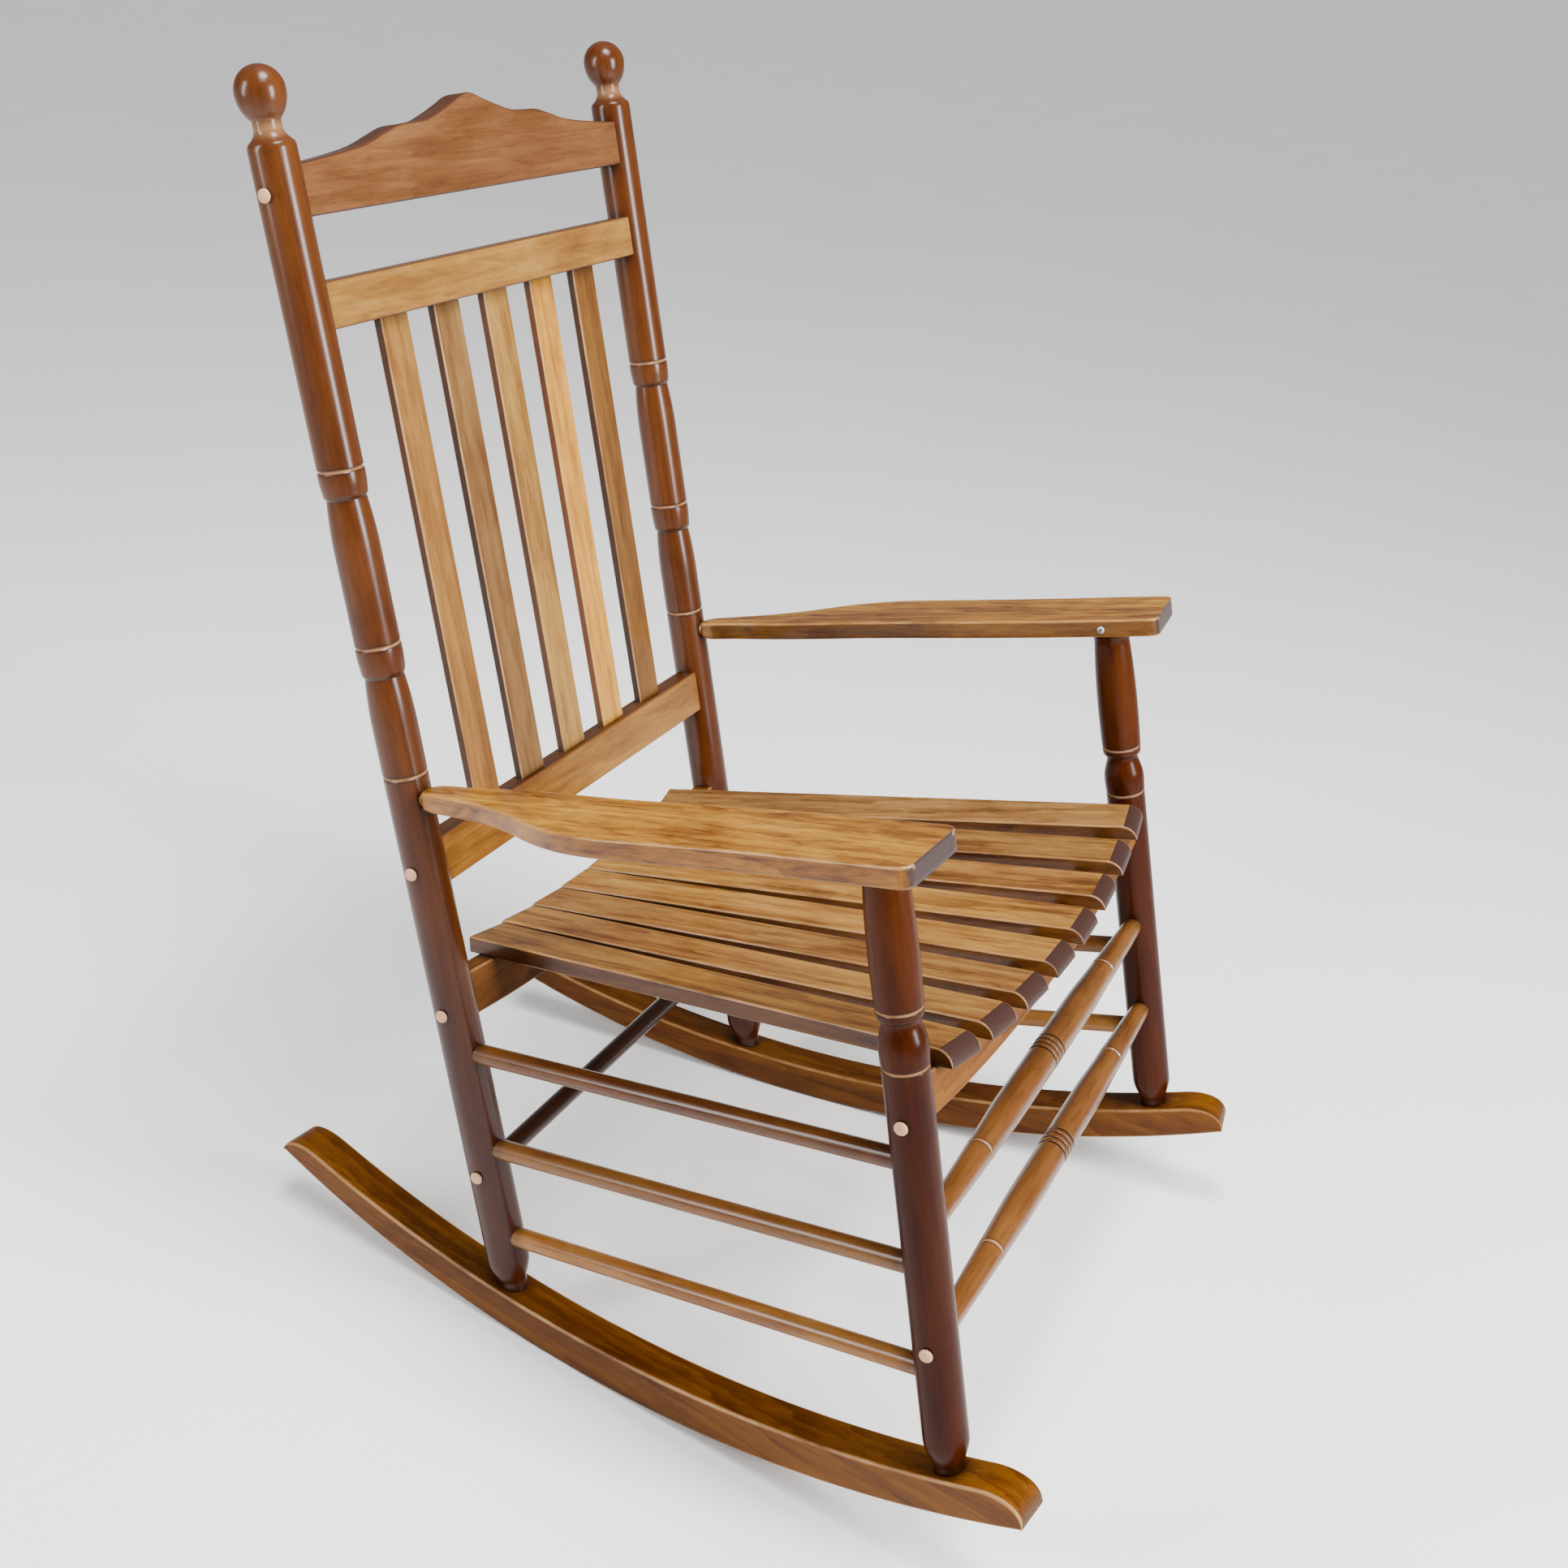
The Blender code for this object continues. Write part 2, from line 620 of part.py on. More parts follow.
def arm(name, side, material):
    back, line, up, outward, reach = arm_sections(side)
    half = 0.5 * ARM_THICKNESS
    sections = []

    def add(distance, inner, outer, thickness, roundness):
        """Twelve points: a rectangle with cut corners, which turns into a circle as roundness goes to 1."""
        middle = back + line * distance
        width = 0.5 * (inner + outer)
        centre = 0.5 * (outer - inner)
        corner = 0.0016 + roundness * (min(width, thickness) - 0.0016)
        section = []
        for quarter in range(4):
            x_sign = (1.0, -1.0, -1.0, 1.0)[quarter]
            z_sign = (1.0, 1.0, -1.0, -1.0)[quarter]
            for i in range(3):
                angle = math.radians(90.0 * quarter + 45.0 * i)
                x = centre + x_sign * (width - corner) + corner * math.cos(angle)
                z = z_sign * (thickness - corner) + corner * math.sin(angle)
                section.append(middle + outward * x + up * z)
        sections.append(section)

    add(SOCKET_FLOOR, ARM_END_RADIUS, ARM_END_RADIUS, ARM_END_RADIUS, 1.0)
    add(POST_RADIUS + 0.001, ARM_END_RADIUS, ARM_END_RADIUS, ARM_END_RADIUS, 1.0)
    add(POST_RADIUS + 0.006, 0.0100, 0.0104, half, 0.55)
    for distance, inner, outer in ARM_OUTLINE:
        add(distance, inner, outer, half, 0.0)
    add(reach, ARM_FRONT_INNER, ARM_FRONT_OUTER, half, 0.0)
    tip = reach + ARM_FRONT_OVERHANG
    for degrees in (0.0, 35.0, 65.0, 90.0):
        angle = math.radians(degrees)
        trim = ARM_CORNER * (1.0 - math.cos(angle))
        distance = tip - ARM_CORNER * (1.0 - math.sin(angle))
        add(distance, ARM_FRONT_INNER - trim, ARM_FRONT_OUTER - trim, half, 0.0)
    return finished(name, loft(sections), material)


def arm_end_cutter(name, side):
    back, line, _, _, _ = arm_sections(side)
    start = back + line * (SOCKET_FLOOR - FIT)
    end = back + line * (2.0 * POST_RADIUS)
    frame = along(end - start, (start + end) * 0.5)
    return finished(name, lathe(plain_profile((end - start).length, ARM_END_RADIUS, FIT), RUNG_SEGMENTS),
                    None, frame, True)


# ---------------------------------------------------------------- screws and plugs

def screw_profile(grow=0.0):
    """From the screw's tip at +Z back to its head, measured from the post's axis; +Z points into the rail."""
    seat = -(POST_RADIUS - COUNTERBORE_DEPTH)
    return [
        (seat - grow, SCREW_HEAD_RADIUS + grow),
        (seat + 0.0006, SCREW_HEAD_RADIUS + grow),
        (seat + SCREW_HEAD_LENGTH + grow, SCREW_RADIUS + grow),
        (SCREW_REACH - 0.004, SCREW_RADIUS + grow),
        (SCREW_REACH + grow, 0.4 * SCREW_RADIUS + grow),
    ]


def plug_profile():
    surface = -POST_RADIUS - FIT
    stem_end = -(POST_RADIUS - COUNTERBORE_DEPTH) - 2.0 * FIT
    return [
        (stem_end, PLUG_STEM_RADIUS),
        (surface, PLUG_STEM_RADIUS),
        (surface, PLUG_HEAD_RADIUS),
        (surface - 0.45 * PLUG_HEAD_HEIGHT, PLUG_HEAD_RADIUS),
        (surface - 0.85 * PLUG_HEAD_HEIGHT, 0.78 * PLUG_HEAD_RADIUS),
        (surface - PLUG_HEAD_HEIGHT, 0.40 * PLUG_HEAD_RADIUS),
    ]


def bore_profile():
    seat = -(POST_RADIUS - COUNTERBORE_DEPTH)
    return [(-2.0 * POST_RADIUS, PLUG_STEM_RADIUS + FIT), (seat - FIT, PLUG_STEM_RADIUS + FIT)] + screw_profile(FIT)


def fastener(label, point, side, materials, targets):
    """A screw and its plug through a post at point on its axis, and the holes they need in the targets."""
    frame = along(Vector((-side, 0.0, 0.0)), point)
    finished("screw_" + label, lathe(screw_profile(), SCREW_SEGMENTS), materials["screw"], frame)
    finished("plug_" + label, lathe(plug_profile(), RUNG_SEGMENTS), materials["plug"], frame)
    bore = finished("bore_" + label, lathe(bore_profile(), RUNG_SEGMENTS), None, frame, True)
    for target in targets:
        cut(target, bore)


# ---------------------------------------------------------------- the chair

def clear_scene():
    for obj in list(bpy.data.objects):
        bpy.data.objects.remove(obj, do_unlink=True)


def chair_materials():
    return {
        "post": wood("post_wood", (0.20, 0.075, 0.028), 0.28),
        "crest": wood("crest_wood", (0.24, 0.105, 0.045), 0.38),
        "rail": wood("rail_wood", (0.36, 0.185, 0.075), 0.38),
        "slat": wood("back_slat_wood", (0.38, 0.21, 0.095), 0.40),
        "seat": wood("seat_wood", (0.38, 0.19, 0.070), 0.35),
        "arm": wood("arm_wood", (0.42, 0.21, 0.065), 0.30),
        "rocker": wood("rocker_wood", (0.27, 0.130, 0.045), 0.38),
        "rung": wood("rung_wood", (0.25, 0.105, 0.040), 0.28),
        "dark": wood("dark_rung_wood", (0.075, 0.026, 0.016), 0.35),
        "plug": wood("plug_wood", (0.60, 0.40, 0.27), 0.60),
        "screw": steel("screw_steel"),
    }


def build_posts(materials):
    posts = {}
    for label, side in SIDES:
        back_axis = along(mirrored(BACK_DIRECTION, side), mirrored(BACK_FOOT, side))
        front_axis = along(mirrored(FRONT_DIRECTION, side), mirrored(FRONT_FOOT, side))
        back = finished("back_post_" + label, lathe(back_post_profile(), POST_SEGMENTS), materials["post"], back_axis)
        front = finished("front_post_" + label, lathe(front_post_profile(), POST_SEGMENTS), materials["post"],
                         front_axis)
        base = rocker("rocker_" + label, side, materials["rocker"])
        for end, axis in (("back", back_axis), ("front", front_axis)):
            profile = foot_profile(FIT)
            profile[-1] = (FOOT_TENON, FOOT_RADIUS + FIT)
            cut(base, finished("foot_socket_%s_%s" % (end, label), lathe(profile, POST_SEGMENTS), None, axis, True))
        rest = arm("arm_" + label, side, materials["arm"])
        tenon = lathe(arm_tenon_profile(FIT), POST_SEGMENTS)
        cut(rest, finished("arm_socket_" + label, tenon, None, front_axis, True))
        cut(back, arm_end_cutter("arm_end_" + label, side))
        posts["back", label] = back
        posts["front", label] = front
    return posts


def build_back(materials, posts):
    """The crest rail and the two back rails, with the slats between them."""
    crest_xs = [-x for x, _ in reversed(CREST_EDGE)] + [x for x, _ in CREST_EDGE]
    fine = []
    for x0, x1 in zip(crest_xs, crest_xs[1:]):
        fine += [x0, 0.5 * (x0 + x1)] if x1 > x0 else []
    fine.append(crest_xs[-1])
    shapes = {
        "crest_rail": (lambda x: CREST_BOTTOM, crest_top, fine, CREST_THICKNESS, CREST_END, "crest"),
        "upper_back_rail": (lambda x: UPPER_RAIL[0], lambda x: UPPER_RAIL[1], [], BACK_RAIL_THICKNESS,
                            UPPER_RAIL[0], "rail"),
        "lower_back_rail": (lambda x: LOWER_RAIL[0], lambda x: LOWER_RAIL[1], [], BACK_RAIL_THICKNESS,
                            LOWER_RAIL[0], "rail"),
    }
    rails = {}
    for name, (bottom, top, xs, thickness, station, finish) in shapes.items():
        edge = square_edge(top, xs, back_reach(station))
        rails[name] = rail(name, bottom, edge, thickness, BACK_FRAME, materials[finish])
        socket = rail(name + "_socket", bottom, edge, thickness, BACK_FRAME, None, FIT)
        for label, _ in SIDES:
            cut(posts["back", label], socket)
    for number in range(1, BACK_SLATS + 1):
        place = number - 0.5 * (BACK_SLATS + 1)
        back_slat("back_slat_%d" % number, place, materials["slat"])
        socket = back_slat("back_slat_socket_%d" % number, place, None, FIT)
        cut(rails["upper_back_rail"], socket)
        cut(rails["lower_back_rail"], socket)
    return rails


def build_seat(materials, posts):
    slats = [SeatSlat(index) for index in range(SEAT_SLATS)]
    for slat in slats:
        slat.build(materials["seat"])
    rails = {}
    for name, top, bottom, frame, reach_at, end in (
        ("front_seat_rail", FRONT_RAIL_TOP, FRONT_RAIL_BOTTOM, FRONT_FRAME, front_reach, "front"),
        ("rear_seat_rail", REAR_RAIL_TOP, REAR_RAIL_BOTTOM, BACK_FRAME, back_reach, "back"),
    ):
        rails[name] = seat_rail(name, top, bottom, frame, reach_at, slats, materials["rail"])
        socket = seat_rail(name + "_socket", top, bottom, frame, reach_at, slats, None, FIT)
        for label, _ in SIDES:
            cut(posts[end, label], socket)
    return rails


def build_rungs(materials, posts):
    rungs = {}
    for label, side in SIDES:
        for place, back_station, front_station in SIDE_RUNGS:
            back = on_back_post(back_station, side)
            front = on_front_post(front_station, side)
            run = (front - back).normalized()
            back += run * SOCKET_FLOOR
            front -= run * SOCKET_FLOOR
            length = (front - back).length
            name = "side_rung_%s_%s" % (place, label)
            rung(name, back, front, plain_profile(length, SIDE_RUNG_RADIUS), materials["rung"])
            socket = rung(name + "_socket", back, front, plain_profile(length, SIDE_RUNG_RADIUS, FIT), None, True)
            cut(posts["back", label], socket)
            cut(posts["front", label], socket)
    crossings = [("rear_stretcher", on_back_post(STRETCHER_STATION), "back", "dark")]
    for place, station in FRONT_RUNGS:
        crossings.append(("front_rung_" + place, on_front_post(station), "front", "rung"))
    for name, end, row, finish in crossings:
        end.x -= SOCKET_FLOOR
        start = mirrored(end, -1.0)
        length = 2.0 * end.x
        if row == "back":
            profile = plain_profile(length, SIDE_RUNG_RADIUS)
            socket_profile = plain_profile(length, SIDE_RUNG_RADIUS, FIT)
        else:
            profile = turned_rung_profile(length)
            socket_profile = [(-0.5 * length - FIT, RUNG_END_RADIUS + FIT)]
            for z, radius in profile[1:-1]:
                socket_profile.append((z, radius + FIT))
            socket_profile.append((0.5 * length + FIT, RUNG_END_RADIUS + FIT))
        rungs[name] = rung(name, start, end, profile, materials[finish])
        socket = rung(name + "_socket", start, end, socket_profile, None, True)
        for label, _ in SIDES:
            cut(posts[row, label], socket)
    return rungs


def build_fasteners(materials, posts, pieces):
    for label, side in SIDES:
        for place, row, station, target in (
            ("crest", "back", 0.5 * (CREST_BOTTOM + CREST_END), "crest_rail"),
            ("back_rail", "back", 0.5 * (LOWER_RAIL[0] + LOWER_RAIL[1]), "lower_back_rail"),
            ("rear_seat_rail", "back", REAR_RAIL_BOTTOM + 0.029, "rear_seat_rail"),
            ("stretcher", "back", STRETCHER_STATION, "rear_stretcher"),
            ("front_seat_rail", "front", FRONT_RAIL_BOTTOM + 0.031, "front_seat_rail"),
            ("front_rung", "front", FRONT_RUNGS[1][1], "front_rung_lower"),
        ):
            point = on_back_post(station, side) if row == "back" else on_front_post(station, side)
            fastener("%s_%s" % (place, label), point, side, materials, (posts[row, label], pieces[target]))


def centre_on_floor():
    """Move everything so the origin lies on the floor, below the middle of the chair's bounding box."""
    lows = []
    highs = []
    for obj in bpy.data.objects:
        if obj.hide_render:
            continue
        places = [obj.matrix_world @ vertex.co for vertex in obj.data.vertices]
        lows.append([min(place[axis] for place in places) for axis in range(3)])
        highs.append([max(place[axis] for place in places) for axis in range(3)])
    middle_y = 0.5 * (min(low[1] for low in lows) + max(high[1] for high in highs))
    floor_z = min(low[2] for low in lows)
    shift = Matrix.Translation((0.0, -middle_y, -floor_z))
    for obj in bpy.data.objects:
        obj.matrix_world = shift @ obj.matrix_world


def main():
    clear_scene()
    materials = chair_materials()
    posts = build_posts(materials)
    pieces = {}
    pieces.update(build_back(materials, posts))
    pieces.update(build_seat(materials, posts))
    pieces.update(build_rungs(materials, posts))
    build_fasteners(materials, posts, pieces)
    bpy.context.view_layer.update()
    centre_on_floor()


main()
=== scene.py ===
"""Finish, camera and light for the slat-seat rocking chair. Metres, +Z up, the chair faces -Y."""
import math

import bpy
from mathutils import Matrix, Vector


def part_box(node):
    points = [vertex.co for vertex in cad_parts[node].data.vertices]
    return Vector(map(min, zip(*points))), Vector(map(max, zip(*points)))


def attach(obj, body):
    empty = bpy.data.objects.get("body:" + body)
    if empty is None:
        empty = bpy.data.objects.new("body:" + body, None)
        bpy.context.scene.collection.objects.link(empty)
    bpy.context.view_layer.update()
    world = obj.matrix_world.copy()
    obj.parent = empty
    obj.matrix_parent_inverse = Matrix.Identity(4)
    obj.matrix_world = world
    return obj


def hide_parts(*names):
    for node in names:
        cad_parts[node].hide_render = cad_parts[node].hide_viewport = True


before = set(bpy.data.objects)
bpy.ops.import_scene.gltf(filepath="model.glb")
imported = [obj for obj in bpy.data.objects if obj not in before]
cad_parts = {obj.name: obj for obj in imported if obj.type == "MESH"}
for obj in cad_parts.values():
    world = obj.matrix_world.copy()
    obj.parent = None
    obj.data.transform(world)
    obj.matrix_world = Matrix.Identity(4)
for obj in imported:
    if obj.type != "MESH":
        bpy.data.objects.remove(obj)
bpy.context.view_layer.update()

# ---------------------------------------------------------------- the chair's own measures

BACK_FOOT = Vector((0.2378, 0.0732, 0.0373))
FRONT_FOOT = Vector((0.2960, -0.3726, 0.1022))
BACK_LEAN = math.radians(15.39)
FRONT_LEAN = math.radians(14.84)
BACK_SPLAY = math.radians(0.88)
FRONT_SPLAY = math.radians(-1.51)
POST = 0.019
FIT = 0.0003
STRETCHER = 0.1225
SIDES = (("left", 1.0), ("right", -1.0))


def direction(lean, splay):
    return Vector((math.tan(splay), math.tan(lean), 1.0)).normalized()


BACK_DIR = direction(BACK_LEAN, BACK_SPLAY)
FRONT_DIR = direction(FRONT_LEAN, FRONT_SPLAY)

# the row's origin is below the middle of the bounding box, and one rear piece says how far that is
low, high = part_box("rear_stretcher")
plain = BACK_FOOT + BACK_DIR * STRETCHER
SHIFT = Vector((0.0, 0.5 * (low.y + high.y) - plain.y, 0.5 * (low.z + high.z) - plain.z))
BACK_FOOT += SHIFT
FRONT_FOOT += SHIFT


def on_side(point, side):
    return Vector((point.x * side, point.y, point.z))


def back_at(station, side=1.0):
    return on_side(BACK_FOOT + BACK_DIR * station, side)


def front_at(station, side=1.0):
    return on_side(FRONT_FOOT + FRONT_DIR * station, side)


def axes(x_axis, y_axis, z_axis, origin):
    frame_matrix = Matrix((x_axis, y_axis, z_axis)).transposed().to_4x4()
    frame_matrix.translation = origin
    return frame_matrix


def along(z_axis, origin):
    z_axis = z_axis.normalized()
    sideways = Vector((1.0, 0.0, 0.0)) if abs(z_axis.x) < 0.9 else Vector((0.0, 1.0, 0.0))
    x_axis = (sideways - z_axis * sideways.dot(z_axis)).normalized()
    return axes(x_axis, z_axis.cross(x_axis), z_axis, origin)


def rail_axes(lean, foot):
    """Local X to the rear, local Y up the posts, local Z (the grain) across the chair."""
    up = Vector((0.0, math.sin(lean), math.cos(lean)))
    rear = Vector((0.0, math.cos(lean), -math.sin(lean)))
    return axes(rear, up, Vector((1.0, 0.0, 0.0)), Vector((0.0, foot.y, foot.z)))


BACK_PLANE = rail_axes(BACK_LEAN, BACK_FOOT)
FRONT_PLANE = rail_axes(FRONT_LEAN, FRONT_FOOT)


def gauge(foot, splay, lean, station):
    return foot.x + math.tan(splay) * station * math.cos(lean)


def ease(u):
    u = min(1.0, max(0.0, u))
    return u * u * (3.0 - 2.0 * u)


def bump(x, width):
    return max(0.0, 1.0 - abs(x) / width)


def curve_through(points, x):
    """A rounded line through (x, y) points."""
    if x <= points[0][0]:
        return points[0][1]
    for k in range(len(points) - 1):
        (x0, y0), (x1, y1) = points[k], points[k + 1]
        if x <= x1:
            before = points[k - 1] if k else (2.0 * x0 - x1, y1 if points[0][0] == 0.0 else 2.0 * y0 - y1)
            after = points[min(k + 2, len(points) - 1)]
            m0 = (y1 - before[1]) / (x1 - before[0])
            m1 = (after[1] - y0) / (after[0] - x0)
            w = x1 - x0
            u = (x - x0) / w
            return ((2 * u**3 - 3 * u**2 + 1) * y0 + (u**3 - 2 * u**2 + u) * w * m0
                    + (3 * u**2 - 2 * u**3) * y1 + (u**3 - u**2) * w * m1)
    return points[-1][1]


def span(start, end, step):
    count = max(1, int(math.ceil(abs(end - start) / step)))
    return [start + (end - start) * i / count for i in range(count + 1)]


# ---------------------------------------------------------------- materials

class Nodes:
    """A small helper that wires shader nodes."""

    def __init__(self, name):
        self.material = bpy.data.materials.new(name)
        self.material.use_nodes = True
        self.tree = self.material.node_tree
        self.shader = self.tree.nodes["Principled BSDF"]
        self.count = 0

    def add(self, kind, **values):
        node = self.tree.nodes.new(kind)
        self.count += 1
        node.location = (-260 * (1 + self.count % 8), 600 - 180 * (self.count // 8))
        for key, value in values.items():
            setattr(node, key, value)
        return node

    def link(self, source, target):
        self.tree.links.new(source, target)

    def feed(self, value, socket):
        if isinstance(value, bpy.types.NodeSocket):
            self.link(value, socket)
        else:
            socket.default_value = value

    def maths(self, operation, a, b=0.0, c=None, clamp=False):
        node = self.add("ShaderNodeMath", operation=operation, use_clamp=clamp)
        self.feed(a, node.inputs[0])
        self.feed(b, node.inputs[1])
        if c is not None:
            self.feed(c, node.inputs[2])
        return node.outputs[0]

    def mix(self, factor, a, b, blend="MIX"):
        node = self.add("ShaderNodeMix", data_type="RGBA", blend_type=blend)
        self.feed(factor, node.inputs[0])
        self.feed(a, node.inputs[6])
        self.feed(b, node.inputs[7])
        return node.outputs[2]

    def ramp(self, value, stops):
        node = self.add("ShaderNodeValToRGB")
        elements = node.color_ramp.elements
        while len(elements) > 1:
            elements.remove(elements[-1])
        for i, (place, colour) in enumerate(stops):
            element = elements[0] if i == 0 else elements.new(place)
            element.position = place
            element.color = colour if len(colour) == 4 else (*colour, 1.0)
        self.link(value, node.inputs[0])
        return node.outputs[0]

    def level(self, value, low_from, high_from, low_to=0.0, high_to=1.0):
        node = self.add("ShaderNodeMapRange")
        self.link(value, node.inputs[0])
        for i, number in enumerate((low_from, high_from, low_to, high_to)):
            node.inputs[1 + i].default_value = number
        return node.outputs[0]

    def noise(self, vector, scale, detail=4.0, roughness=0.55, distortion=0.0):
        node = self.add("ShaderNodeTexNoise")
        self.link(vector, node.inputs["Vector"])
        node.inputs["Scale"].default_value = scale
        node.inputs["Detail"].default_value = detail
        node.inputs["Roughness"].default_value = roughness
        node.inputs["Distortion"].default_value = distortion
        return node.outputs[0]

    def mapped(self, vector, scale, offset):
        node = self.add("ShaderNodeMapping")
        self.link(vector, node.inputs["Vector"])
        node.inputs["Location"].default_value = offset
        node.inputs["Scale"].default_value = scale
        return node.outputs[0]

    def attribute(self, name):
        node = self.add("ShaderNodeAttribute", attribute_name=name)
        return node.outputs["Fac"]

    def relief(self, height, strength, distance):
        node = self.add("ShaderNodeBump")
        node.inputs["Strength"].default_value = strength
        node.inputs["Distance"].default_value = distance
        self.link(height, node.inputs["Height"])
        self.link(node.outputs[0], self.shader.inputs["Normal"])


def shade(colour, factor):
    return tuple(min(1.0, c * factor) for c in colour)


# how the base colour shifts, in red, green and blue, from the darkest grain to the palest
GRAIN_STOPS = ((0.00, (-0.62, -0.72, -0.80)), (0.30, (-0.24, -0.33, -0.42)), (0.50, (0.0, 0.0, 0.0)),
               (0.72, (0.22, 0.30, 0.40)), (1.00, (0.50, 0.68, 0.95)))


def wood(name, base, seed, *, contrast, figure, roughness, coat, specular, patch, fleck=0.5, wear_and_highlight=None,
         end=None, end_from=(0.55, 0.93), pale_and_highlight=None, dark=None, low=None, narrow=None, narrow_tint=None,
         coat_roughness=0.17):
    """Stained, varnished close-grained wood whose grain runs along the piece's own Z."""
    n = Nodes(name)
    place = n.add("ShaderNodeAttribute", attribute_name="grain").outputs["Vector"]
    offset = (seed * 1.37, seed * 2.11, seed * 0.73)
    broad = n.mapped(place, (1.0, 1.0, 0.07), offset)
    fine = n.mapped(place, (1.0, 1.0, 0.030), offset)
    loose = n.mapped(place, (1.0, 1.0, 0.38), offset)
    streak = n.noise(broad, 70.0, 5.0, 0.60, 0.4)
    lines = n.noise(fine, 380.0, 4.0, 0.60, 0.2)
    mottle = n.noise(n.mapped(place, (1.0, 1.0, 0.22), offset), 120.0, 5.0, 0.68, 0.8)
    cloud = n.noise(loose, 12.0, 4.0, 0.60, 0.5)
    # growth figure: soft bands across the board that wander along it
    wave = n.add("ShaderNodeTexWave", wave_type="BANDS", bands_direction="DIAGONAL", wave_profile="SAW")
    n.link(n.mapped(place, (1.0, 0.55, 0.07), offset), wave.inputs["Vector"])
    wave.inputs["Scale"].default_value = 34.0
    wave.inputs["Distortion"].default_value = 9.0
    wave.inputs["Detail"].default_value = 3.0
    wave.inputs["Detail Scale"].default_value = 1.1
    wave.inputs["Detail Roughness"].default_value = 0.55
    rings = wave.outputs["Fac"]
    parts = ((rings, 0.22 * figure), (streak, 0.70), (lines, 0.40), (mottle, fleck), (cloud, 0.35))
    blend = n.maths("MULTIPLY", rings, parts[0][1])
    for value, weight in parts[1:]:
        blend = n.maths("MULTIPLY_ADD", value, weight, blend)
    middle = 0.5 * sum(weight for _, weight in parts)
    tone = n.level(blend, middle - 0.21, middle + 0.21)
    colour = n.ramp(tone, [
        (at, tuple(min(1.0, b * max(0.10, 1.0 + k * contrast)) for b, k in zip(base, shift)))
        for at, shift in GRAIN_STOPS])
    # slow change of colour over the board, as stain takes unevenly
    drift = n.ramp(cloud, [(0.30, (1.0 - 0.34 * patch, 1.0 - 0.44 * patch, 1.0 - 0.52 * patch)),
                           (0.50, (1.0, 1.0, 1.0)),
                           (0.72, (1.0 + 0.20 * patch, 1.0 + 0.30 * patch, 1.0 + 0.30 * patch))])
    colour = n.mix(1.0, colour, drift, "MULTIPLY")
    # painted shade: where the turn mark is high the colour is darkened by low; on the posts this darkens them
    # towards the floor
    if low is not None:
        colour = n.mix(n.attribute("turn"), colour, n.mix(1.0, colour, (*low, 1.0), "MULTIPLY"))
    # open pores: short dark dashes along the grain
    pores = n.noise(n.mapped(place, (1.0, 1.0, 0.05), offset), 1100.0, 2.0, 0.5)
    pore = n.level(pores, 0.60, 0.72)
    colour = n.mix(n.maths("MULTIPLY", pore, 0.40), colour, (*shade(base, 0.25), 1.0))
    # the sawn narrow faces drink more stain
    if narrow is not None:
        side = n.level(n.attribute("turn"), 0.35, 0.75, 1.0 - narrow, narrow)
        colour = n.mix(side, colour, n.mix(1.0, colour, (*narrow_tint, 1.0), "MULTIPLY"))
    # end grain
    ended = n.level(n.attribute("end"), *end_from)
    speck = n.noise(place, 620.0, 3.0, 0.6)
    arcs = n.add("ShaderNodeTexWave", wave_type="RINGS", rings_direction="Z", wave_profile="SIN")
    n.link(n.mapped(place, (1.0, 1.6, 0.1), (0.03 + 0.013 * seed, 0.05, 0.0)), arcs.inputs["Vector"])
    arcs.inputs["Scale"].default_value = 75.0
    arcs.inputs["Distortion"].default_value = 1.5
    end_colour = end or shade(base, 0.42)
    end_tone = n.maths("MULTIPLY_ADD", arcs.outputs["Fac"], 0.30, n.maths("MULTIPLY", speck, 0.75))
    end_look = n.ramp(end_tone, [(0.25, shade(end_colour, 0.6)), (0.55, end_colour),
                                 (0.85, shade(end_colour, 1.4))])
    colour = n.mix(ended, colour, end_look)
    # turned lines show paler wood, with a painted highlight on them
    wobble = n.noise(loose, 60.0, 3.0, 0.6)
    if pale_and_highlight is not None:
        line = n.maths("MULTIPLY", n.attribute("pale_and_highlight"), n.level(wobble, 0.30, 0.55, 0.45, 1.0), clamp=True)
        colour = n.mix(line, colour, (*pale_and_highlight, 1.0))
    # darker beside turned lines, and painted shade under shoulders, where pieces meet and on the arms' inner sides
    stain_and_shade_amount = n.maths("MULTIPLY", n.attribute("stain_and_shade"), n.level(wobble, 0.25, 0.6, 0.7, 1.0), clamp=True)
    colour = n.mix(stain_and_shade_amount, colour, (*(dark or shade(base, 0.14)), 1.0))
    # edges rubbed thin; where the edge colour is paler, this is partly a painted highlight
    rub_and_highlight = n.maths("MULTIPLY", n.attribute("edge"),
                  n.level(n.noise(loose, 38.0, 4.0, 0.6), 0.36, 0.62, 0.15, 0.85), clamp=True)
    colour = n.mix(rub_and_highlight, colour, (*(wear_and_highlight or shade(base, 1.6)), 1.0))
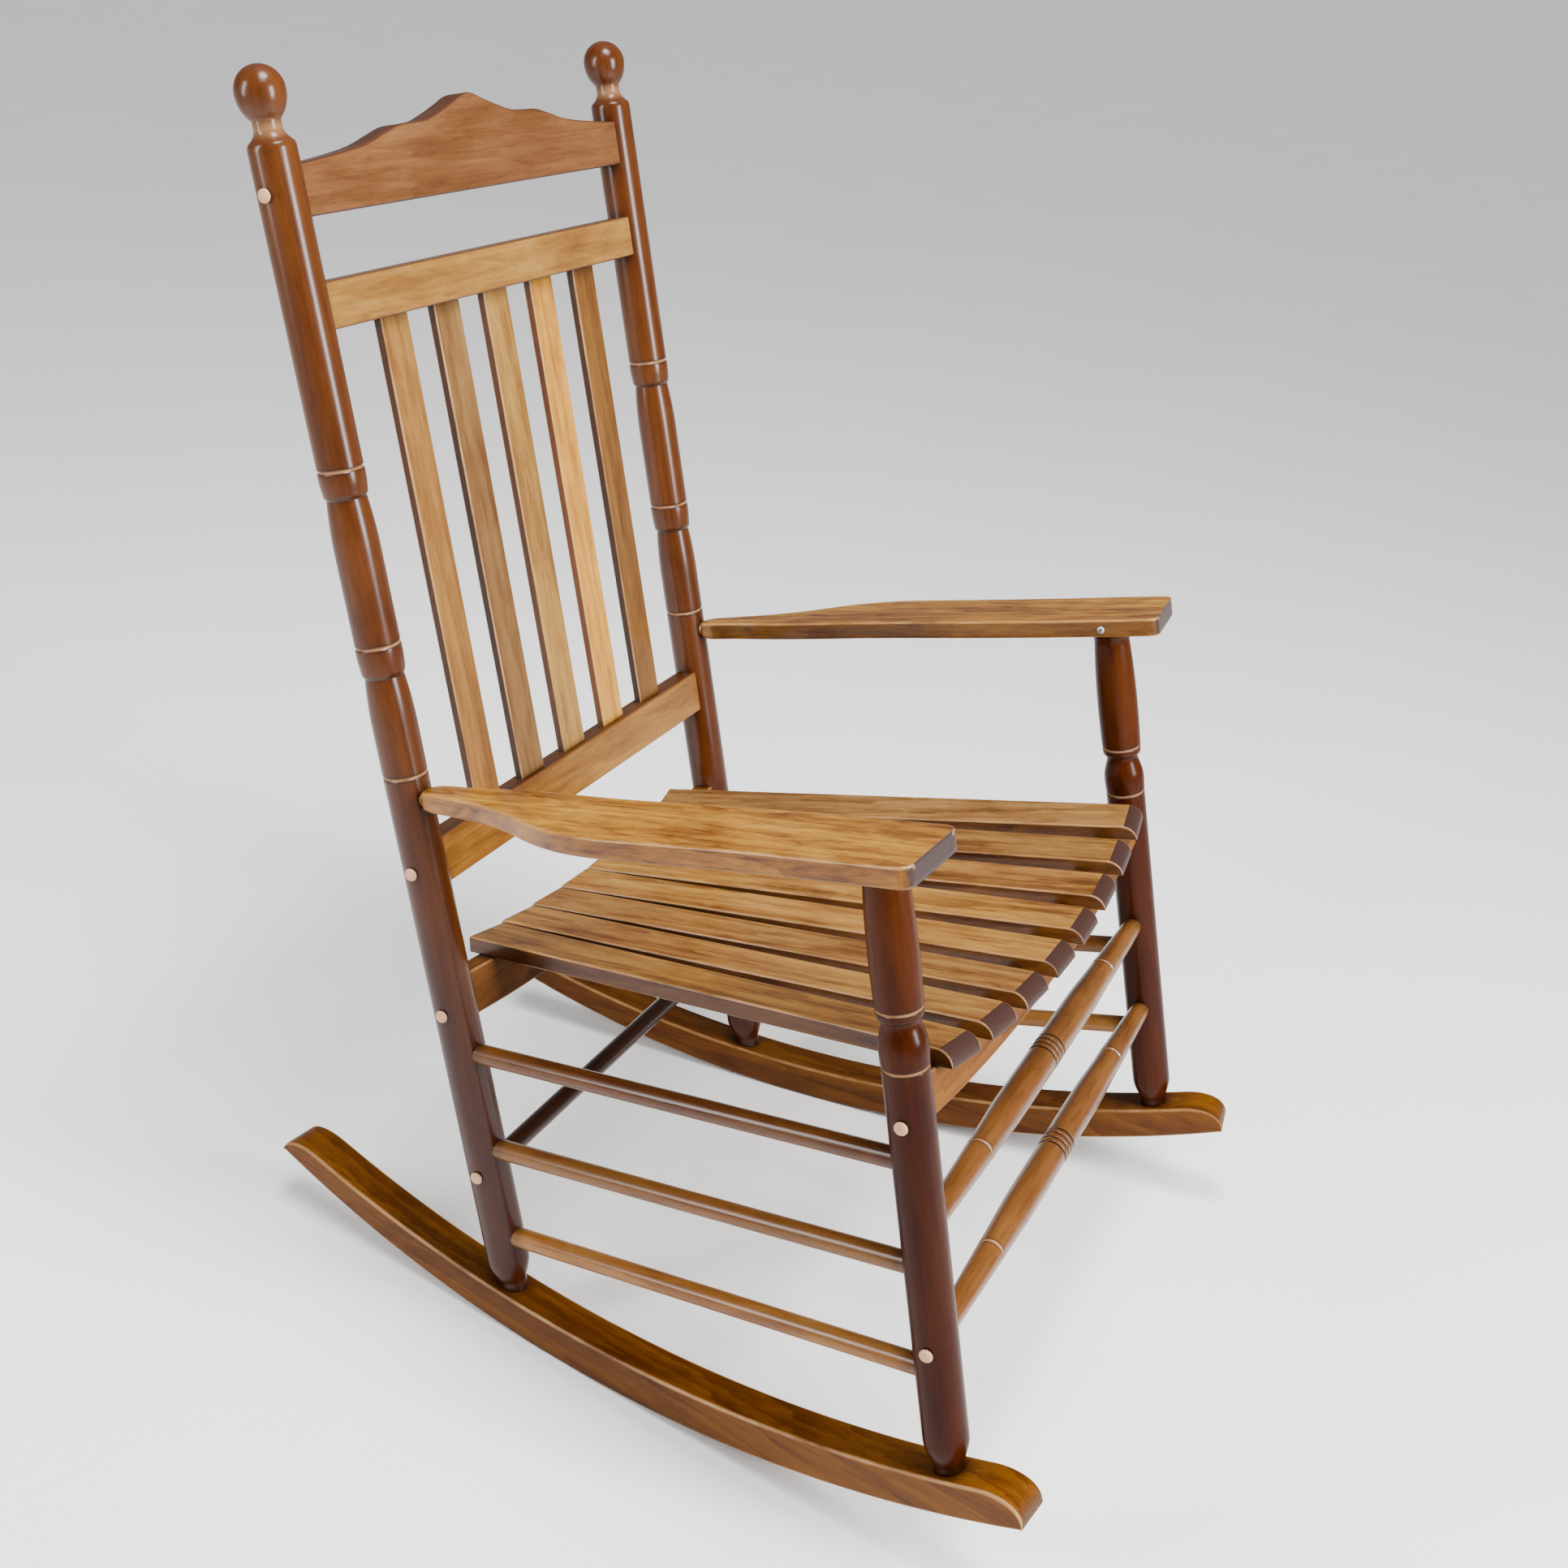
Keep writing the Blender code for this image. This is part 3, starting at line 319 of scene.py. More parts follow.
    # painted shade: ambient occlusion darkens the colour where pieces meet and in hollows
    occlusion_shade = n.add("ShaderNodeAmbientOcclusion", samples=8)
    occlusion_shade.inputs["Distance"].default_value = 0.014
    closed = n.level(occlusion_shade.outputs["AO"], 0.40, 0.95, 0.8, 0.0)
    colour = n.mix(closed, colour, (*shade(base, 0.08), 1.0))
    n.link(colour, n.shader.inputs["Base Color"])
    gloss = n.maths("MULTIPLY_ADD", lines, 0.18, roughness - 0.09)
    gloss = n.maths("MULTIPLY_ADD", cloud, 0.14, n.maths("SUBTRACT", gloss, 0.07))
    gloss = n.maths("MULTIPLY_ADD", ended, 0.22, gloss, clamp=True)
    n.link(gloss, n.shader.inputs["Roughness"])
    height = n.maths("MULTIPLY_ADD", lines, 0.5, n.maths("MULTIPLY", mottle, 0.35))
    height = n.maths("SUBTRACT", height, n.maths("MULTIPLY", pore, 0.35))
    n.relief(height, 0.18, 0.0006)
    n.shader.inputs["Coat Weight"].default_value = coat
    n.shader.inputs["Coat Roughness"].default_value = coat_roughness
    n.shader.inputs["Specular IOR Level"].default_value = specular
    return n.material


def raw_wood(name, base):
    """Bare end grain of a button plug, and the near-black painted shade of a screw's cross recess."""
    n = Nodes(name)
    place = n.add("ShaderNodeTexCoord").outputs["Object"]
    speck = n.noise(place, 900.0, 4.0, 0.6)
    cloud = n.noise(place, 140.0, 2.0, 0.5)
    tone = n.maths("MULTIPLY_ADD", speck, 0.6, n.maths("MULTIPLY", cloud, 0.5))
    colour = n.ramp(tone, [(0.30, shade(base, 0.62)), (0.52, base), (0.75, shade(base, 1.25))])
    rim = n.attribute("edge")
    colour = n.mix(n.maths("MULTIPLY", rim, 0.6), colour, (*shade(base, 0.45), 1.0))
    n.link(colour, n.shader.inputs["Base Color"])
    n.link(n.level(speck, 0.3, 0.7, 0.50, 0.72), n.shader.inputs["Roughness"])
    n.relief(speck, 0.2, 0.0004)
    return n.material


def zinc(name):
    """Plated steel with fine scratches and a little dulling."""
    n = Nodes(name)
    place = n.add("ShaderNodeTexCoord").outputs["Object"]
    scratch = n.noise(n.mapped(place, (1.0, 0.1, 1.0), (0.0, 0.0, 0.0)), 2500.0, 3.0, 0.6)
    dull = n.noise(place, 400.0, 3.0, 0.5)
    colour = n.ramp(dull, [(0.3, (0.34, 0.33, 0.32)), (0.6, (0.62, 0.61, 0.59))])
    n.link(colour, n.shader.inputs["Base Color"])
    n.link(n.level(scratch, 0.3, 0.7, 0.22, 0.46), n.shader.inputs["Roughness"])
    n.shader.inputs["Metallic"].default_value = 1.0
    n.relief(scratch, 0.1, 0.0001)
    return n.material


# ---------------------------------------------------------------- meshes

def piece(name, points, faces, matrix, material, stands_for, marks=None, sharp=38.0, weighted=False):
    """Make one shown piece from local points, with named values per point, and hang it on the frame."""
    mesh = bpy.data.meshes.new(name)
    mesh.from_pydata([matrix @ Vector(p) for p in points], [], faces)
    for key in ("edge", "pale_and_highlight", "stain_and_shade", "turn"):
        values = (marks or {}).get(key)
        layer = mesh.attributes.new(key, "FLOAT", "POINT")
        if values:
            layer.data.foreach_set("value", values)
    # where each point lies along and across the grain
    local = mesh.attributes.new("grain", "FLOAT_VECTOR", "POINT")
    local.data.foreach_set("vector", [c for p in points for c in p])
    endways = mesh.attributes.new("end", "FLOAT", "FACE")
    axis = matrix.to_3x3() @ Vector((0.0, 0.0, 1.0))
    endways.data.foreach_set("value", [abs(face.normal.dot(axis)) for face in mesh.polygons])
    mesh.shade_smooth()
    mesh.set_sharp_from_angle(angle=math.radians(sharp))
    mesh.materials.append(material)
    made = bpy.data.objects.new(name, mesh)
    bpy.context.scene.collection.objects.link(made)
    if weighted:
        modifier = made.modifiers.new("even_flats", "WEIGHTED_NORMAL")
        modifier.keep_sharp = True
    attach(made, "root")
    if stands_for:
        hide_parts(stands_for)
    return made


def tube(rings, count):
    """Faces between rings of count points each, one ring after the other."""
    faces = []
    for a in range(0, (rings - 1) * count, count):
        b = a + count
        for i in range(count):
            j = (i + 1) % count
            faces.append((a + i, a + j, b + j, b + i))
    return faces


def turned(name, rows, segments, matrix, material, stands_for, sharp=50.0, painted_shade=None):
    """Revolve rows of (z, radius, pale line, stain and painted shade, edge mark) about local Z. The painted-shade
    function, given z, tells how much painted shade darkens the piece there.
    """
    points = []
    faces = []
    marks = {"pale_and_highlight": [], "stain_and_shade": [], "edge": [], "turn": []}

    def mark(z, *values):
        for key, value in zip(marks, (*values, painted_shade(z) if painted_shade else 0.0)):
            marks[key].append(value)

    for z, radius, pale_and_highlight, stain_and_shade, edge in rows:
        for i in range(segments):
            angle = 2.0 * math.pi * i / segments
            points.append((radius * math.cos(angle), radius * math.sin(angle), z))
            mark(z, pale_and_highlight, stain_and_shade, edge)
    faces += tube(len(rows), segments)
    for row, flip in ((0, True), (len(rows) - 1, False)):
        centre = len(points)
        z, _, pale_and_highlight, stain_and_shade, edge = rows[row]
        points.append((0.0, 0.0, z))
        mark(z, pale_and_highlight, stain_and_shade, edge)
        a = row * segments
        for i in range(segments):
            j = (i + 1) % segments
            faces.append((centre, a + j, a + i) if flip else (centre, a + i, a + j))
    return piece(name, points, faces, matrix, material, stands_for, marks, sharp)


def rounded(low_x, high_x, low_y, high_y, radius, steps=4):
    """A rectangle with round corners: (x, y, on the corner) going anticlockwise."""
    r = min(radius, 0.49 * (high_x - low_x), 0.49 * (high_y - low_y))
    ring = []
    for quarter, (cx, cy) in enumerate(((high_x - r, high_y - r), (low_x + r, high_y - r),
                                        (low_x + r, low_y + r), (high_x - r, low_y + r))):
        for i in range(steps + 1):
            angle = math.radians(90.0 * quarter + 90.0 * i / steps)
            mark = math.sin(math.pi * i / steps) ** 0.7 if 0 < i < steps else 0.0
            ring.append((cx + r * math.cos(angle), cy + r * math.sin(angle), mark, abs(math.sin(angle))))
    return ring


def board(name, sections, matrix, material, stands_for, painted_shade=None, edge_mark_below=1.0):
    """Join sections, each (z, ring of (x, y, corner mark, turn)), into one closed board."""
    points = []
    marks = {"edge": [], "turn": [], "stain_and_shade": []}
    for z, ring in sections:
        middle_y = sum(p[1] for p in ring) / len(ring)
        for x, y, mark, turn in ring:
            points.append((x, y, z))
            # edge marks below the middle are weakened, keeping the pale wear and painted highlight on the upper
            # edges
            marks["edge"].append(mark if y >= middle_y else mark * edge_mark_below)
            marks["turn"].append(turn)
            # a given function adds painted shade at chosen points
            marks["stain_and_shade"].append(painted_shade(x, y, z, turn) if painted_shade else 0.0)
    count = len(sections[0][1])
    for z, ring in (sections[0], sections[-1]):
        # an inner ring on each end face keeps the corner marks off it
        cx = sum(p[0] for p in ring) / count
        cy = sum(p[1] for p in ring) / count
        for x, y, mark, turn in ring:
            points.append((cx + 0.93 * (x - cx), cy + 0.93 * (y - cy), z))
            marks["edge"].append(0.0)
            marks["turn"].append(turn)
            marks["stain_and_shade"].append(0.0)
    faces = tube(len(sections), count)
    last = (len(sections) - 1) * count
    inner = last + count
    for i in range(count):
        j = (i + 1) % count
        faces.append((inner + i, inner + j, j, i))
        faces.append((last + i, last + j, inner + count + j, inner + count + i))
    faces.append(tuple(range(inner, inner + count))[::-1])
    faces.append(tuple(range(inner + count, inner + 2 * count)))
    return piece(name, points, faces, matrix, material, stands_for, marks, 40.0, weighted=True)


def softened_ends(places, ring_at, radius=0.0012, steps=3):
    """Sections along a board whose two ends are rounded over by radius."""
    first, last = places[0], places[-1]
    start = []
    finish = []
    for i in range(steps):
        angle = math.radians(90.0 * i / steps)
        inset = radius * (1.0 - math.sin(angle))
        drop = radius * (1.0 - math.cos(angle))
        start.append((first + drop, ring_at(first, inset)))
        finish.append((last - drop, ring_at(last, inset)))
    between = [p for p in places[1:-1] if first + radius < p < last - radius]
    middle = [(z, ring_at(z, 0.0)) for z in (first + radius, *between, last - radius)]
    return start + middle + finish[::-1]


# ---------------------------------------------------------------- finishes

PALE_AND_HIGHLIGHT = (0.40, 0.21, 0.10)
NEAR_BLACK = (0.020, 0.008, 0.004)


def post_wood(name, seed, base, coat, specular):
    return wood(name, base, seed, contrast=0.6, figure=0.3, roughness=0.34, coat=coat, coat_roughness=0.22,
                specular=specular, patch=0.8, fleck=0.35, wear_and_highlight=(0.40, 0.20, 0.09), end=(0.07, 0.02, 0.008),
                pale_and_highlight=PALE_AND_HIGHLIGHT, dark=NEAR_BLACK, low=(0.50, 0.34, 0.20))


def rung_wood(name, seed, base=(0.115, 0.042, 0.009)):
    return wood(name, base, seed, contrast=0.6, figure=0.3, roughness=0.30, coat=0.32, coat_roughness=0.22,
                specular=0.12, patch=1.0, fleck=0.4, pale_and_highlight=PALE_AND_HIGHLIGHT, dark=NEAR_BLACK)


# ---------------------------------------------------------------- posts

GROOVE_DEPTH = 0.0014
GROOVE_HALF = 0.0017
BACK_GROOVES = (0.5026, 0.6168, 0.7649)
BACK_WAISTS = (0.5905, 0.7415)
FRONT_GROOVES = (0.3549, 0.4031)


FOOT_TIP = 0.0127
FOOT_FLAT = 0.0065
FOOT_FLARE = 0.0063
TAPER = 0.045                # length of the slow taper above each ring of a back post
SHOULDER = 1.0140            # stations up a back post: shoulder, neck and the finial's widest place
NECK = 1.0190
NECK_TOP = 1.0304
NECK_RADIUS = 0.0112
FINIAL = 1.0572
FINIAL_RADIUS = 0.01975
FINIAL_BELOW = 0.0258
FINIAL_ABOVE = 0.0203
BACK_TOP = 1.0774
FRONT_TOP = 0.5230
FRONT_STEP = 0.3950
FRONT_NECK = ((0.3549, 0.0190), (0.3620, 0.0194), (0.3695, 0.0196), (0.3765, 0.0190), (0.3830, 0.0173),
              (0.3880, 0.0158), (0.3918, 0.0153), (0.3945, 0.0157))
FRONT_VASE = ((0.4031, 0.0190), (0.4180, 0.0193), (0.4400, 0.0196), (0.4680, 0.0193), (0.4900, 0.0185),
              (0.5080, 0.0174), (0.5130, 0.0171), (0.5170, 0.0174), (0.5205, 0.0184), (0.5232, 0.0187))


def quarter_sine(u):
    return math.sin(0.5 * math.pi * u)


def foot_radius(s):
    if s <= FOOT_FLAT:
        return FOOT_TIP
    return FOOT_TIP + FOOT_FLARE * quarter_sine(min(1.0, (s - FOOT_FLAT) / 0.0235)) ** 1.15


def finial_radius(s):
    if s <= NECK:
        return POST - 0.0010 * ((s - SHOULDER) / 0.005) ** 2
    if s <= NECK_TOP:
        return NECK_RADIUS + 0.0068 * (1.0 - quarter_sine((s - NECK) / 0.0114)) ** 1.25
    if s < FINIAL:
        width = FINIAL_RADIUS * math.sqrt(max(0.0, 1.0 - ((FINIAL - s) / FINIAL_BELOW) ** 2))
        return NECK_RADIUS + max(0.0, width - NECK_RADIUS)
    return FINIAL_RADIUS * math.sqrt(max(0.0, 1.0 - ((s - FINIAL) / FINIAL_ABOVE) ** 2))


def back_radius(s):
    if s > SHOULDER:
        return finial_radius(s)
    for waist, ring in zip(BACK_WAISTS, BACK_GROOVES[1:]):
        if waist - TAPER < s <= waist:
            return POST - 0.0027 * ((s - waist + TAPER) / TAPER) ** 2.0
        if waist < s <= waist + 0.005:
            return 0.0163 + 0.0021 * quarter_sine((s - waist) / 0.005) ** 0.6
        if waist + 0.005 < s <= ring:
            u = (s - waist - 0.005) / (ring - waist - 0.005)
            return 0.0184 + 0.0006 * ease(u) + 0.0005 * math.sin(math.pi * u)
    return foot_radius(s)


def front_radius(s):
    if s <= 0.3549:
        return foot_radius(s)
    if s <= 0.3945:
        return curve_through(FRONT_NECK, s)
    if s <= 0.3985:
        return 0.0157 + 0.0029 * quarter_sine((s - 0.3945) / 0.004) ** 0.6
    if s <= 0.4031:
        return 0.0186 + 0.0004 * ease((s - 0.3985) / 0.0046)
    return curve_through(FRONT_VASE, s)


def stations(ranges):
    """All places in a list of (start, end, step) ranges, in order."""
    return sorted({round(s, 6) for start, end, step in ranges for s in span(start, end, step)})


def post_rows(radius_at, grooves, steps, top, fine):
    ranges = [(-0.010, top, 0.006), (0.0, 0.034, 0.0022), *fine]
    ranges += [(g - 0.0048, g + 0.0048, 0.0004) for g in grooves]
    ranges += [(w - 0.008, w + 0.012, 0.0008) for w in steps]
    rows = []
    for s in stations(ranges):
        if s > top:
            continue
        radius = radius_at(s)
        pale_and_highlight = 0.0
        stain_and_shade = 0.0
        for g in grooves:
            x = s - g
            radius -= GROOVE_DEPTH * bump(x, GROOVE_HALF)
            # pale line in each groove: paler wood with a painted highlight
            pale_and_highlight = max(pale_and_highlight, min(1.0, 1.5 * bump(x, 0.0014)))
            stain_and_shade = max(stain_and_shade, 0.75 * bump(abs(x) - 0.0026, 0.0014))
        # painted shade under each step and at the foot, where the post meets the rocker
        for w in steps:
            stain_and_shade = max(stain_and_shade, 0.85 * bump(s - w - 0.0006, 0.0034))
        stain_and_shade = max(stain_and_shade, 0.55 * bump(s - 0.002, 0.012))
        # the finial's neck is paler, with a painted highlight
        if s > 1.0:
            pale_and_highlight = max(pale_and_highlight, 0.45 * bump(s - 1.0300, 0.0085))
        rows.append((s, max(radius, 0.0004), pale_and_highlight, stain_and_shade, 0.0))
    return rows


BACK_FINE = ((1.010, 1.034, 0.0010), (1.034, 1.072, 0.0016), (1.072, BACK_TOP, 0.0005))
FRONT_FINE = ((0.360, 0.400, 0.0012), (0.500, 0.523, 0.0012))
for label, side in SIDES:
    rows = post_rows(back_radius, BACK_GROOVES, BACK_WAISTS, BACK_TOP, BACK_FINE)
    # painted shade: the back post's colour darkens towards the floor
    turned("back_post_%s_turned" % label, rows, 56,
           along(on_side(BACK_DIR, side), on_side(BACK_FOOT, side)),
           post_wood("post_back_" + label, 3.1 + side, (0.064, 0.0165, 0.0022), 0.36, 0.07),
           "back_post_" + label, painted_shade=lambda z: 1.0 - ease((z - 0.10) / 0.62))
    rows = post_rows(front_radius, FRONT_GROOVES, (FRONT_STEP,), FRONT_TOP, FRONT_FINE)
    # painted shade at the top of the front post, where the arm sits on it
    rows.append((*FRONT_VASE[-1], 0.0, 0.6, 0.0))
    # painted shade: the front post's colour darkens below its top, most towards the floor
    turned("front_post_%s_turned" % label, rows, 56,
           along(on_side(FRONT_DIR, side), on_side(FRONT_FOOT, side)),
           post_wood("post_front_" + label, 6.4 + side, (0.062, 0.0140, 0.0010), 0.14, 0.03),
           "front_post_" + label, painted_shade=lambda z: 1.0 - 0.75 * ease((z - 0.30) / 0.22))


# ---------------------------------------------------------------- rungs

RUNG = 0.009
RUNG_PLACES = (("upper", 0.2405, 0.2721), ("middle", 0.1448, 0.1812), ("lower", 0.0539, 0.0891))
RUNG_BASES = ((0.100, 0.034, 0.006), (0.115, 0.042, 0.008), (0.215, 0.088, 0.018))


def dowel(name, start, end, material):
    length = (end - start).length
    # painted shade near each end, where the rung meets the post
    rows = [(z, RUNG, 0.0, 0.5 * bump(abs(z) - 0.5 * length + 0.019, 0.012), 0.0)
            for z in span(-0.5 * length, 0.5 * length, 0.010)]
    return turned(name + "_turned", rows, 36, along(end - start, (start + end) * 0.5), material, name)


for label, side in SIDES:
    for number, (place, back_s, front_s) in enumerate(RUNG_PLACES):
        start = back_at(back_s, side)
        end = front_at(front_s, side)
        run = (end - start).normalized()
        name = "side_rung_%s_%s" % (place, label)
        dowel(name, start + run * 0.003, end - run * 0.003,
              rung_wood("rung_%s_%s" % (place, label), 11.0 + number * 1.7 + side, RUNG_BASES[number]))

end = back_at(STRETCHER)
end.x -= 0.003
# painted shade: the rear stretcher's base colour is near black
dowel("rear_stretcher", on_side(end, -1.0), end,
      rung_wood("stretcher_painted_shade", 17.3, (0.018, 0.005, 0.002)))

BEAD = 0.0075
BEAD_ROOT = 0.0110
RING = 0.170                 # the front rung's outer rings, from its middle


def turned_rung_rows(length):
    half = 0.5 * length
    places = set(stations(((0.0, half, 0.006), (0.0, 2.2 * BEAD, 0.0004), (0.164, 0.176, 0.0004))))
    rows = []
    for x in sorted(places | {-p for p in places}):
        a = abs(x)
        if a <= 1.5 * BEAD:
            u = (a / BEAD + 0.5) % 1.0 - 0.5
            radius = BEAD_ROOT + 0.0035 * math.sqrt(max(0.0, 1.0 - (abs(u) / 0.5) ** 2.6))
            stain_and_shade = bump(abs(u) - 0.5, 0.20)
        elif a <= RING:
            start = ease((a - 1.5 * BEAD) / 0.0022)
            swell = 0.0140 + 0.0002 * math.sin(math.pi * min(1.0, a / 0.12))
            fall = 0.0018 * ease((a - 0.095) / 0.075)
            radius = BEAD_ROOT + (swell - fall - BEAD_ROOT) * start
            stain_and_shade = 0.9 * bump(a - 1.5 * BEAD, 0.0011)
        else:
            radius = 0.0122 + (0.0088 - 0.0122) * (a - RING) / (half - RING)
            stain_and_shade = 0.0
        x_ring = a - RING
        radius -= 0.0012 * bump(x_ring, GROOVE_HALF)
        # pale ring line: paler wood with a painted highlight
        pale_and_highlight = min(1.0, 1.5 * bump(x_ring, 0.0017))
        # darker beside the ring, and painted shade between the beads, under the swell's shoulder and near the ends
        stain_and_shade = max(stain_and_shade, 0.7 * bump(abs(x_ring) - 0.0026, 0.0014), 0.5 * bump(a - half + 0.016, 0.010))
        rows.append((x, radius, pale_and_highlight, stain_and_shade, 0.0))
    return rows


for place, station, seed in (("upper", 0.2120, 21.0), ("lower", 0.1165, 23.4)):
    end = front_at(station)
    end.x -= 0.003
    turned("front_rung_%s_turned" % place, turned_rung_rows(2.0 * end.x), 44,
           along(Vector((1.0, 0.0, 0.0)), Vector((0.0, end.y, end.z))),
           rung_wood("rung_front_" + place, seed), "front_rung_" + place)


# ---------------------------------------------------------------- back

CREST_EDGE = ((0.000, 1.0417), (0.010, 1.0402), (0.020, 1.0366), (0.032, 1.0326), (0.045, 1.0286),
              (0.065, 1.0236), (0.085, 1.0223), (0.105, 1.0216), (0.125, 1.0168), (0.145, 1.0114),
              (0.165, 1.0080), (0.205, 1.0039), (0.232, 1.0020))


BOARD = 0.022                # thickness of the back's boards and of the seat rails
BOARD_EDGE = 0.0022


def back_board(name, bottom_at, top_at, places, material, stands_for):
    def ring_at(z, inset):
        return rounded(-0.5 * BOARD + inset, 0.5 * BOARD - inset, bottom_at(z) + inset, top_at(z) - inset,
                       BOARD_EDGE)
    return board(name, softened_ends(places, ring_at), BACK_PLANE, material, stands_for)


crest_reach = gauge(BACK_FOOT, BACK_SPLAY, BACK_LEAN, 1.002) - 0.003
crest_wood = wood("crest_reddish", (0.122, 0.049, 0.0155), 31.0, contrast=0.50, figure=0.6, roughness=0.42,
                  coat=0.2, specular=0.14, patch=0.55, wear_and_highlight=(0.055, 0.016, 0.006), narrow=1.0,
                  narrow_tint=(0.34, 0.24, 0.18))
back_board("crest_rail_sawn", lambda z: 0.9605, lambda z: curve_through(CREST_EDGE, abs(z)),
           span(-crest_reach, crest_reach, 0.003), crest_wood, "crest_rail")
for name, low_s, high_s, seed, base in (("upper_back_rail", 0.8725, 0.9105, 33.0, (0.192, 0.088, 0.018)),
                                        ("lower_back_rail", 0.3965, 0.4390, 35.5, (0.186, 0.080, 0.0125))):
    reach = gauge(BACK_FOOT, BACK_SPLAY, BACK_LEAN, low_s) - 0.003
    rail_wood = wood(name + "_tan", base, seed, contrast=0.55, figure=0.5, roughness=0.42, coat=0.2,
                     specular=0.14, patch=0.9, wear_and_highlight=(0.10, 0.035, 0.012), narrow=1.0,
                     narrow_tint=(0.32, 0.22, 0.16))
    back_board(name + "_sawn", lambda z, v=low_s: v, lambda z, v=high_s: v, span(-reach, reach, 0.02),
               rail_wood, name)

SLAT_BASES = ((0.190, 0.084, 0.0185), (0.134, 0.062, 0.0185), (0.232, 0.117, 0.026), (0.390, 0.176, 0.023),
              (0.119, 0.048, 0.009))
for number in range(1, 6):
    place = number - 3
    bottom = Vector((place * 0.0727, 0.0, 0.4270))
    top = Vector((place * 0.0747, 0.0, 0.8845))
    to_world = BACK_PLANE @ Matrix(((0, 1, 0, 0), (0, 0, 1, 0), (1, 0, 0, 0), (0, 0, 0, 1)))
    run = to_world.to_3x3() @ (top - bottom)
    rear = to_world.to_3x3() @ Vector((0.0, 1.0, 0.0))
    across = rear.cross(run).normalized()
    slat_frame = axes(across, run.normalized().cross(across), run.normalized(),
                      to_world @ ((top + bottom) * 0.5))
    half = 0.5 * (top - bottom).length

    def ring_at(z, inset):
        return rounded(-0.0185 + inset, 0.0185 - inset, -0.004 + inset, 0.004 - inset, 0.0015)

    slat_wood = wood("back_slat_tan_%d" % number, SLAT_BASES[number - 1], 40.0 + 2.3 * number, contrast=0.6,
                     figure=0.5, roughness=0.42, coat=0.2, specular=0.14, patch=0.6,
                     wear_and_highlight=(0.42, 0.24, 0.10), narrow=0.0, narrow_tint=(0.22, 0.12, 0.08))
    board("back_slat_%d_sawn" % number, softened_ends(span(-half, half, 0.03), ring_at), slat_frame,
          slat_wood, "back_slat_%d" % number)


# ---------------------------------------------------------------- seat

PITCH_FRONT = 0.0664
PITCH_BACK = 0.0478
DISH = 0.31
SLAT_WIDTH = 0.0455
SLAT_THICK = 0.0150
FRONT_SEAT = 0.3190          # stations of the two seat rails' tops in the middle
REAR_SEAT = 0.2957
SEAT_EDGE = 0.0018
SEAT_END = 0.0012


def plane_point(plane, x, height):
    return plane @ Vector((0.0, height, x))


class Slat:
    def __init__(self, index):
        self.place = index - 3.5
        middle = 1.0 - (self.place / 3.5) ** 2
        x_front = self.place * PITCH_FRONT
        x_back = self.place * PITCH_BACK
        front = plane_point(FRONT_PLANE, x_front, FRONT_SEAT + FIT + DISH * x_front * x_front)
        back = plane_point(BACK_PLANE, x_back, REAR_SEAT + FIT + DISH * x_back * x_back)
        self.run = (front - back).normalized()
        slope = DISH * self.place * (PITCH_FRONT + PITCH_BACK)
        across = FRONT_PLANE.to_3x3() @ Vector((0.0, slope, 1.0))
        self.across = (across - self.run * across.dot(self.run)).normalized()
        self.up = self.across.cross(-self.run).normalized()
        self.front = front + self.run * (0.0285 + 0.0125 * middle)
        self.back = back - self.run * (0.0140 - 0.005 * middle)

    def crossing(self, plane, depth, hand):
        edge = self.across * (hand * 0.5 * SLAT_WIDTH)
        inverse = plane.inverted()
        start = inverse @ (self.back + edge)
        end = inverse @ (self.front + edge)
        point = start.lerp(end, (start.x - depth) / (start.x - end.x))
        return point.z, point.y - FIT


slats = [Slat(i) for i in range(8)]
SEAT_BASES = ((0.132, 0.055, 0.009), (0.165, 0.071, 0.015), (0.160, 0.068, 0.015), (0.194, 0.083, 0.016),
              (0.210, 0.093, 0.018), (0.200, 0.090, 0.020), (0.138, 0.059, 0.013), (0.163, 0.075, 0.020))
for index, slat in enumerate(slats):
    length = (slat.front - slat.back).length
    # local X across, Y up, Z towards the rear, so the frame is right-handed
    seat_frame = axes(slat.across, slat.up, -slat.run, slat.front)
    sections = []

    def seat_ring(top, inset=0.0):
        half = 0.5 * SLAT_WIDTH
        return rounded(-half + inset, half - inset, inset, top - inset, min(SEAT_EDGE, 0.45 * top))

    for degrees in (84.0, 75.0, 66.0, 57.0, 48.0, 39.0, 30.0, 20.0, 10.0, 0.0):
        angle = math.radians(degrees)
        top = SLAT_THICK * math.cos(angle) ** 0.92
        inset = 0.0004 if degrees > 80.0 else 0.0
        sections.append((SLAT_THICK * (1.0 - math.sin(angle)), seat_ring(top, inset)))
    for z in span(SLAT_THICK + 0.01, length - SEAT_END, 0.03):
        sections.append((z, seat_ring(SLAT_THICK)))
    for i in (1, 2, 3):
        angle = math.radians(30.0 * i)
        inset = SEAT_END * (1.0 - math.cos(angle))
        sections.append((length - SEAT_END + SEAT_END * math.sin(angle), seat_ring(SLAT_THICK, inset)))
    seat_wood = wood("seat_golden_%d" % (index + 1), SEAT_BASES[index], 60.0 + 3.7 * index, contrast=0.85,
                     figure=0.9, roughness=0.36, coat=0.22, specular=0.16, patch=1.0, fleck=0.7,
                     wear_and_highlight=(0.36, 0.19, 0.08), end=(0.030, 0.0115, 0.0080), end_from=(0.10, 0.22), narrow=0.0,
                     narrow_tint=(0.44, 0.32, 0.22))
    board("seat_slat_%d_sawn" % (index + 1), sections, seat_frame, seat_wood,
          "seat_slat_%d" % (index + 1), edge_mark_below=0.15)

